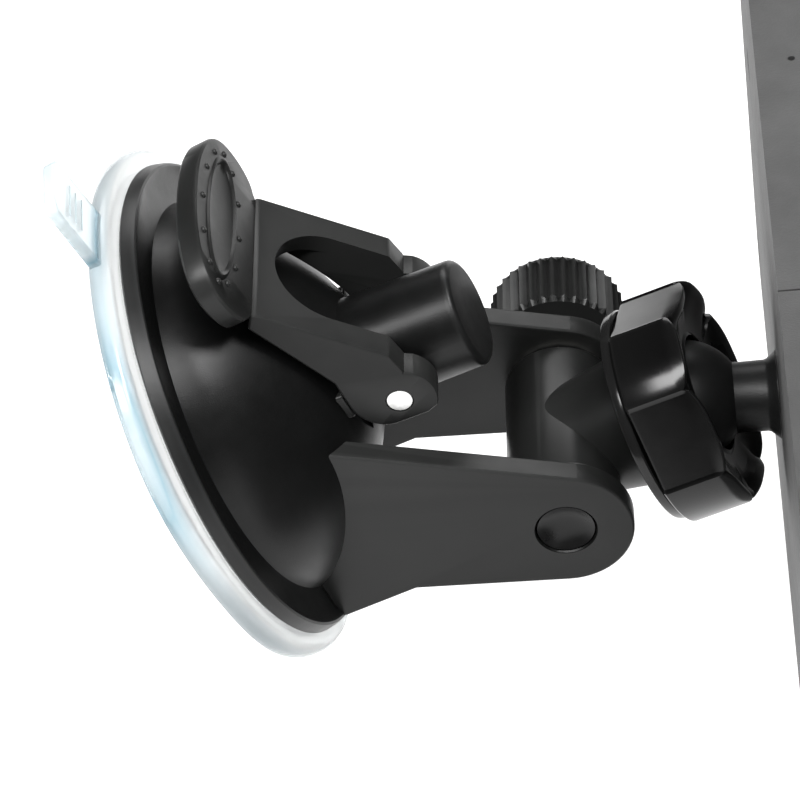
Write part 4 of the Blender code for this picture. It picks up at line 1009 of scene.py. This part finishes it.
def make_view():
    """Camera of the main view."""
    data = bpy.data.cameras.new("view")
    data.lens = VIEW_LENS
    data.sensor_width = 36.0
    data.clip_start = 0.01
    data.clip_end = 20.0
    camera = bpy.data.objects.new("view", data)
    bpy.context.scene.collection.objects.link(camera)
    camera.location = VIEW_PLACE
    camera.rotation_euler = Euler([math.radians(a) for a in VIEW_TURN], "XYZ")
    bpy.context.scene.camera = camera


def paint(names, material):
    """Give CAD nodes that keep their shape a better material."""
    for name in names:
        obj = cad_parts[name]
        obj.data.materials.clear()
        obj.data.materials.append(material)


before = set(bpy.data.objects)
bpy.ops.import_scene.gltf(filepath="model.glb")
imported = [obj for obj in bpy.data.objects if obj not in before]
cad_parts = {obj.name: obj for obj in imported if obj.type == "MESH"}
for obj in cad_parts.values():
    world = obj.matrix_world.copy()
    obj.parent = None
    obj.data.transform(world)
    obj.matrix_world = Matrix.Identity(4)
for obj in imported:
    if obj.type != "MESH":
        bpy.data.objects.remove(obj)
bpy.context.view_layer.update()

black = plastic("satin_black", (0.0048, 0.0050, 0.0048), 0.34, 0.05, 5200.0, 0.000006,
                specular=0.24, worn=0.2)
grained = plastic("grained_black", (0.0030, 0.0031, 0.0031), 0.34, 0.05, 6000.0, 0.000016,
                  specular=0.25, worn=0.2)
ball_black = plastic("ball_black", (0.007, 0.0072, 0.0072), 0.42, 0.06, 6000.0, 0.00002,
                     specular=0.28)
gloss = plastic("polished_black", (0.003, 0.003, 0.003), 0.15, 0.03, 900.0, 0.000002,
                specular=0.32, worn=0.15)
shell = plastic("shell_grey", (0.036, 0.036, 0.036), 0.52, 0.05, 4200.0, 0.00003)
sand = plastic("sand_blasted", (0.040, 0.040, 0.040), 0.55, 0.06, 2600.0, 0.00006)
rubber = plastic("soft_rubber", (0.02, 0.02, 0.021), 0.65, 0.06, 2400.0, 0.00003)
nylon = plastic("nylon_natural", (0.55, 0.54, 0.50), 0.45, 0.05, 1500.0, 0.00001)
dark = plastic("dark_moulding", (0.02, 0.02, 0.021), 0.5, 0.05, 3000.0, 0.00002)
steel = metal("bright_steel", (0.86, 0.86, 0.85), 0.3)
blackened = plastic("blackened_steel", (0.006, 0.006, 0.006), 0.3, 0.06, 1800.0, 0.00001,
                    specular=0.25)
brass = metal("insert_brass", (0.78, 0.60, 0.30), 0.3)
silver = metal("plated_tin", (0.62, 0.62, 0.64), 0.32)
screen = glass("screen_black", (0.004, 0.004, 0.005), 1.0, 0.04)
lens = glass("lens_coating", (0.01, 0.015, 0.05), 0.7, 0.02)
board = circuit("solder_mask")
clear = clear_plastic("clear_vinyl")

make_clear_pad(clear)
make_housing(grained, black)
make_lever(black)
make_pin(steel)
make_bolt(blackened)
make_knob(black)
make_neck(black)
make_nut(gloss)
make_ball(ball_black)
make_camera(shell, sand, screen)
paint(["pull_rod", "lens_drum"], black)
paint(["pad_boss"], rubber)
paint(["near_washer", "far_washer"], nylon)
paint(["knob_insert", "mount_insert"], brass)
paint(["ball_core", "stem_stud", "cover_screw_1", "cover_screw_2", "cover_screw_3",
       "cover_screw_4"], steel)
paint(["display_panel", "speaker", "audio_jack", "memory_card"], dark)
paint(["battery", "microphone", "usb_port", "card_reader"], silver)
paint(["main_board", "sensor_board"], board)
paint(["lens_ring", "port_door"], shell)
paint(["lens_glass"], lens)
make_stage()
make_lights()
make_view()
bpy.context.scene.view_settings.view_transform = "Standard"
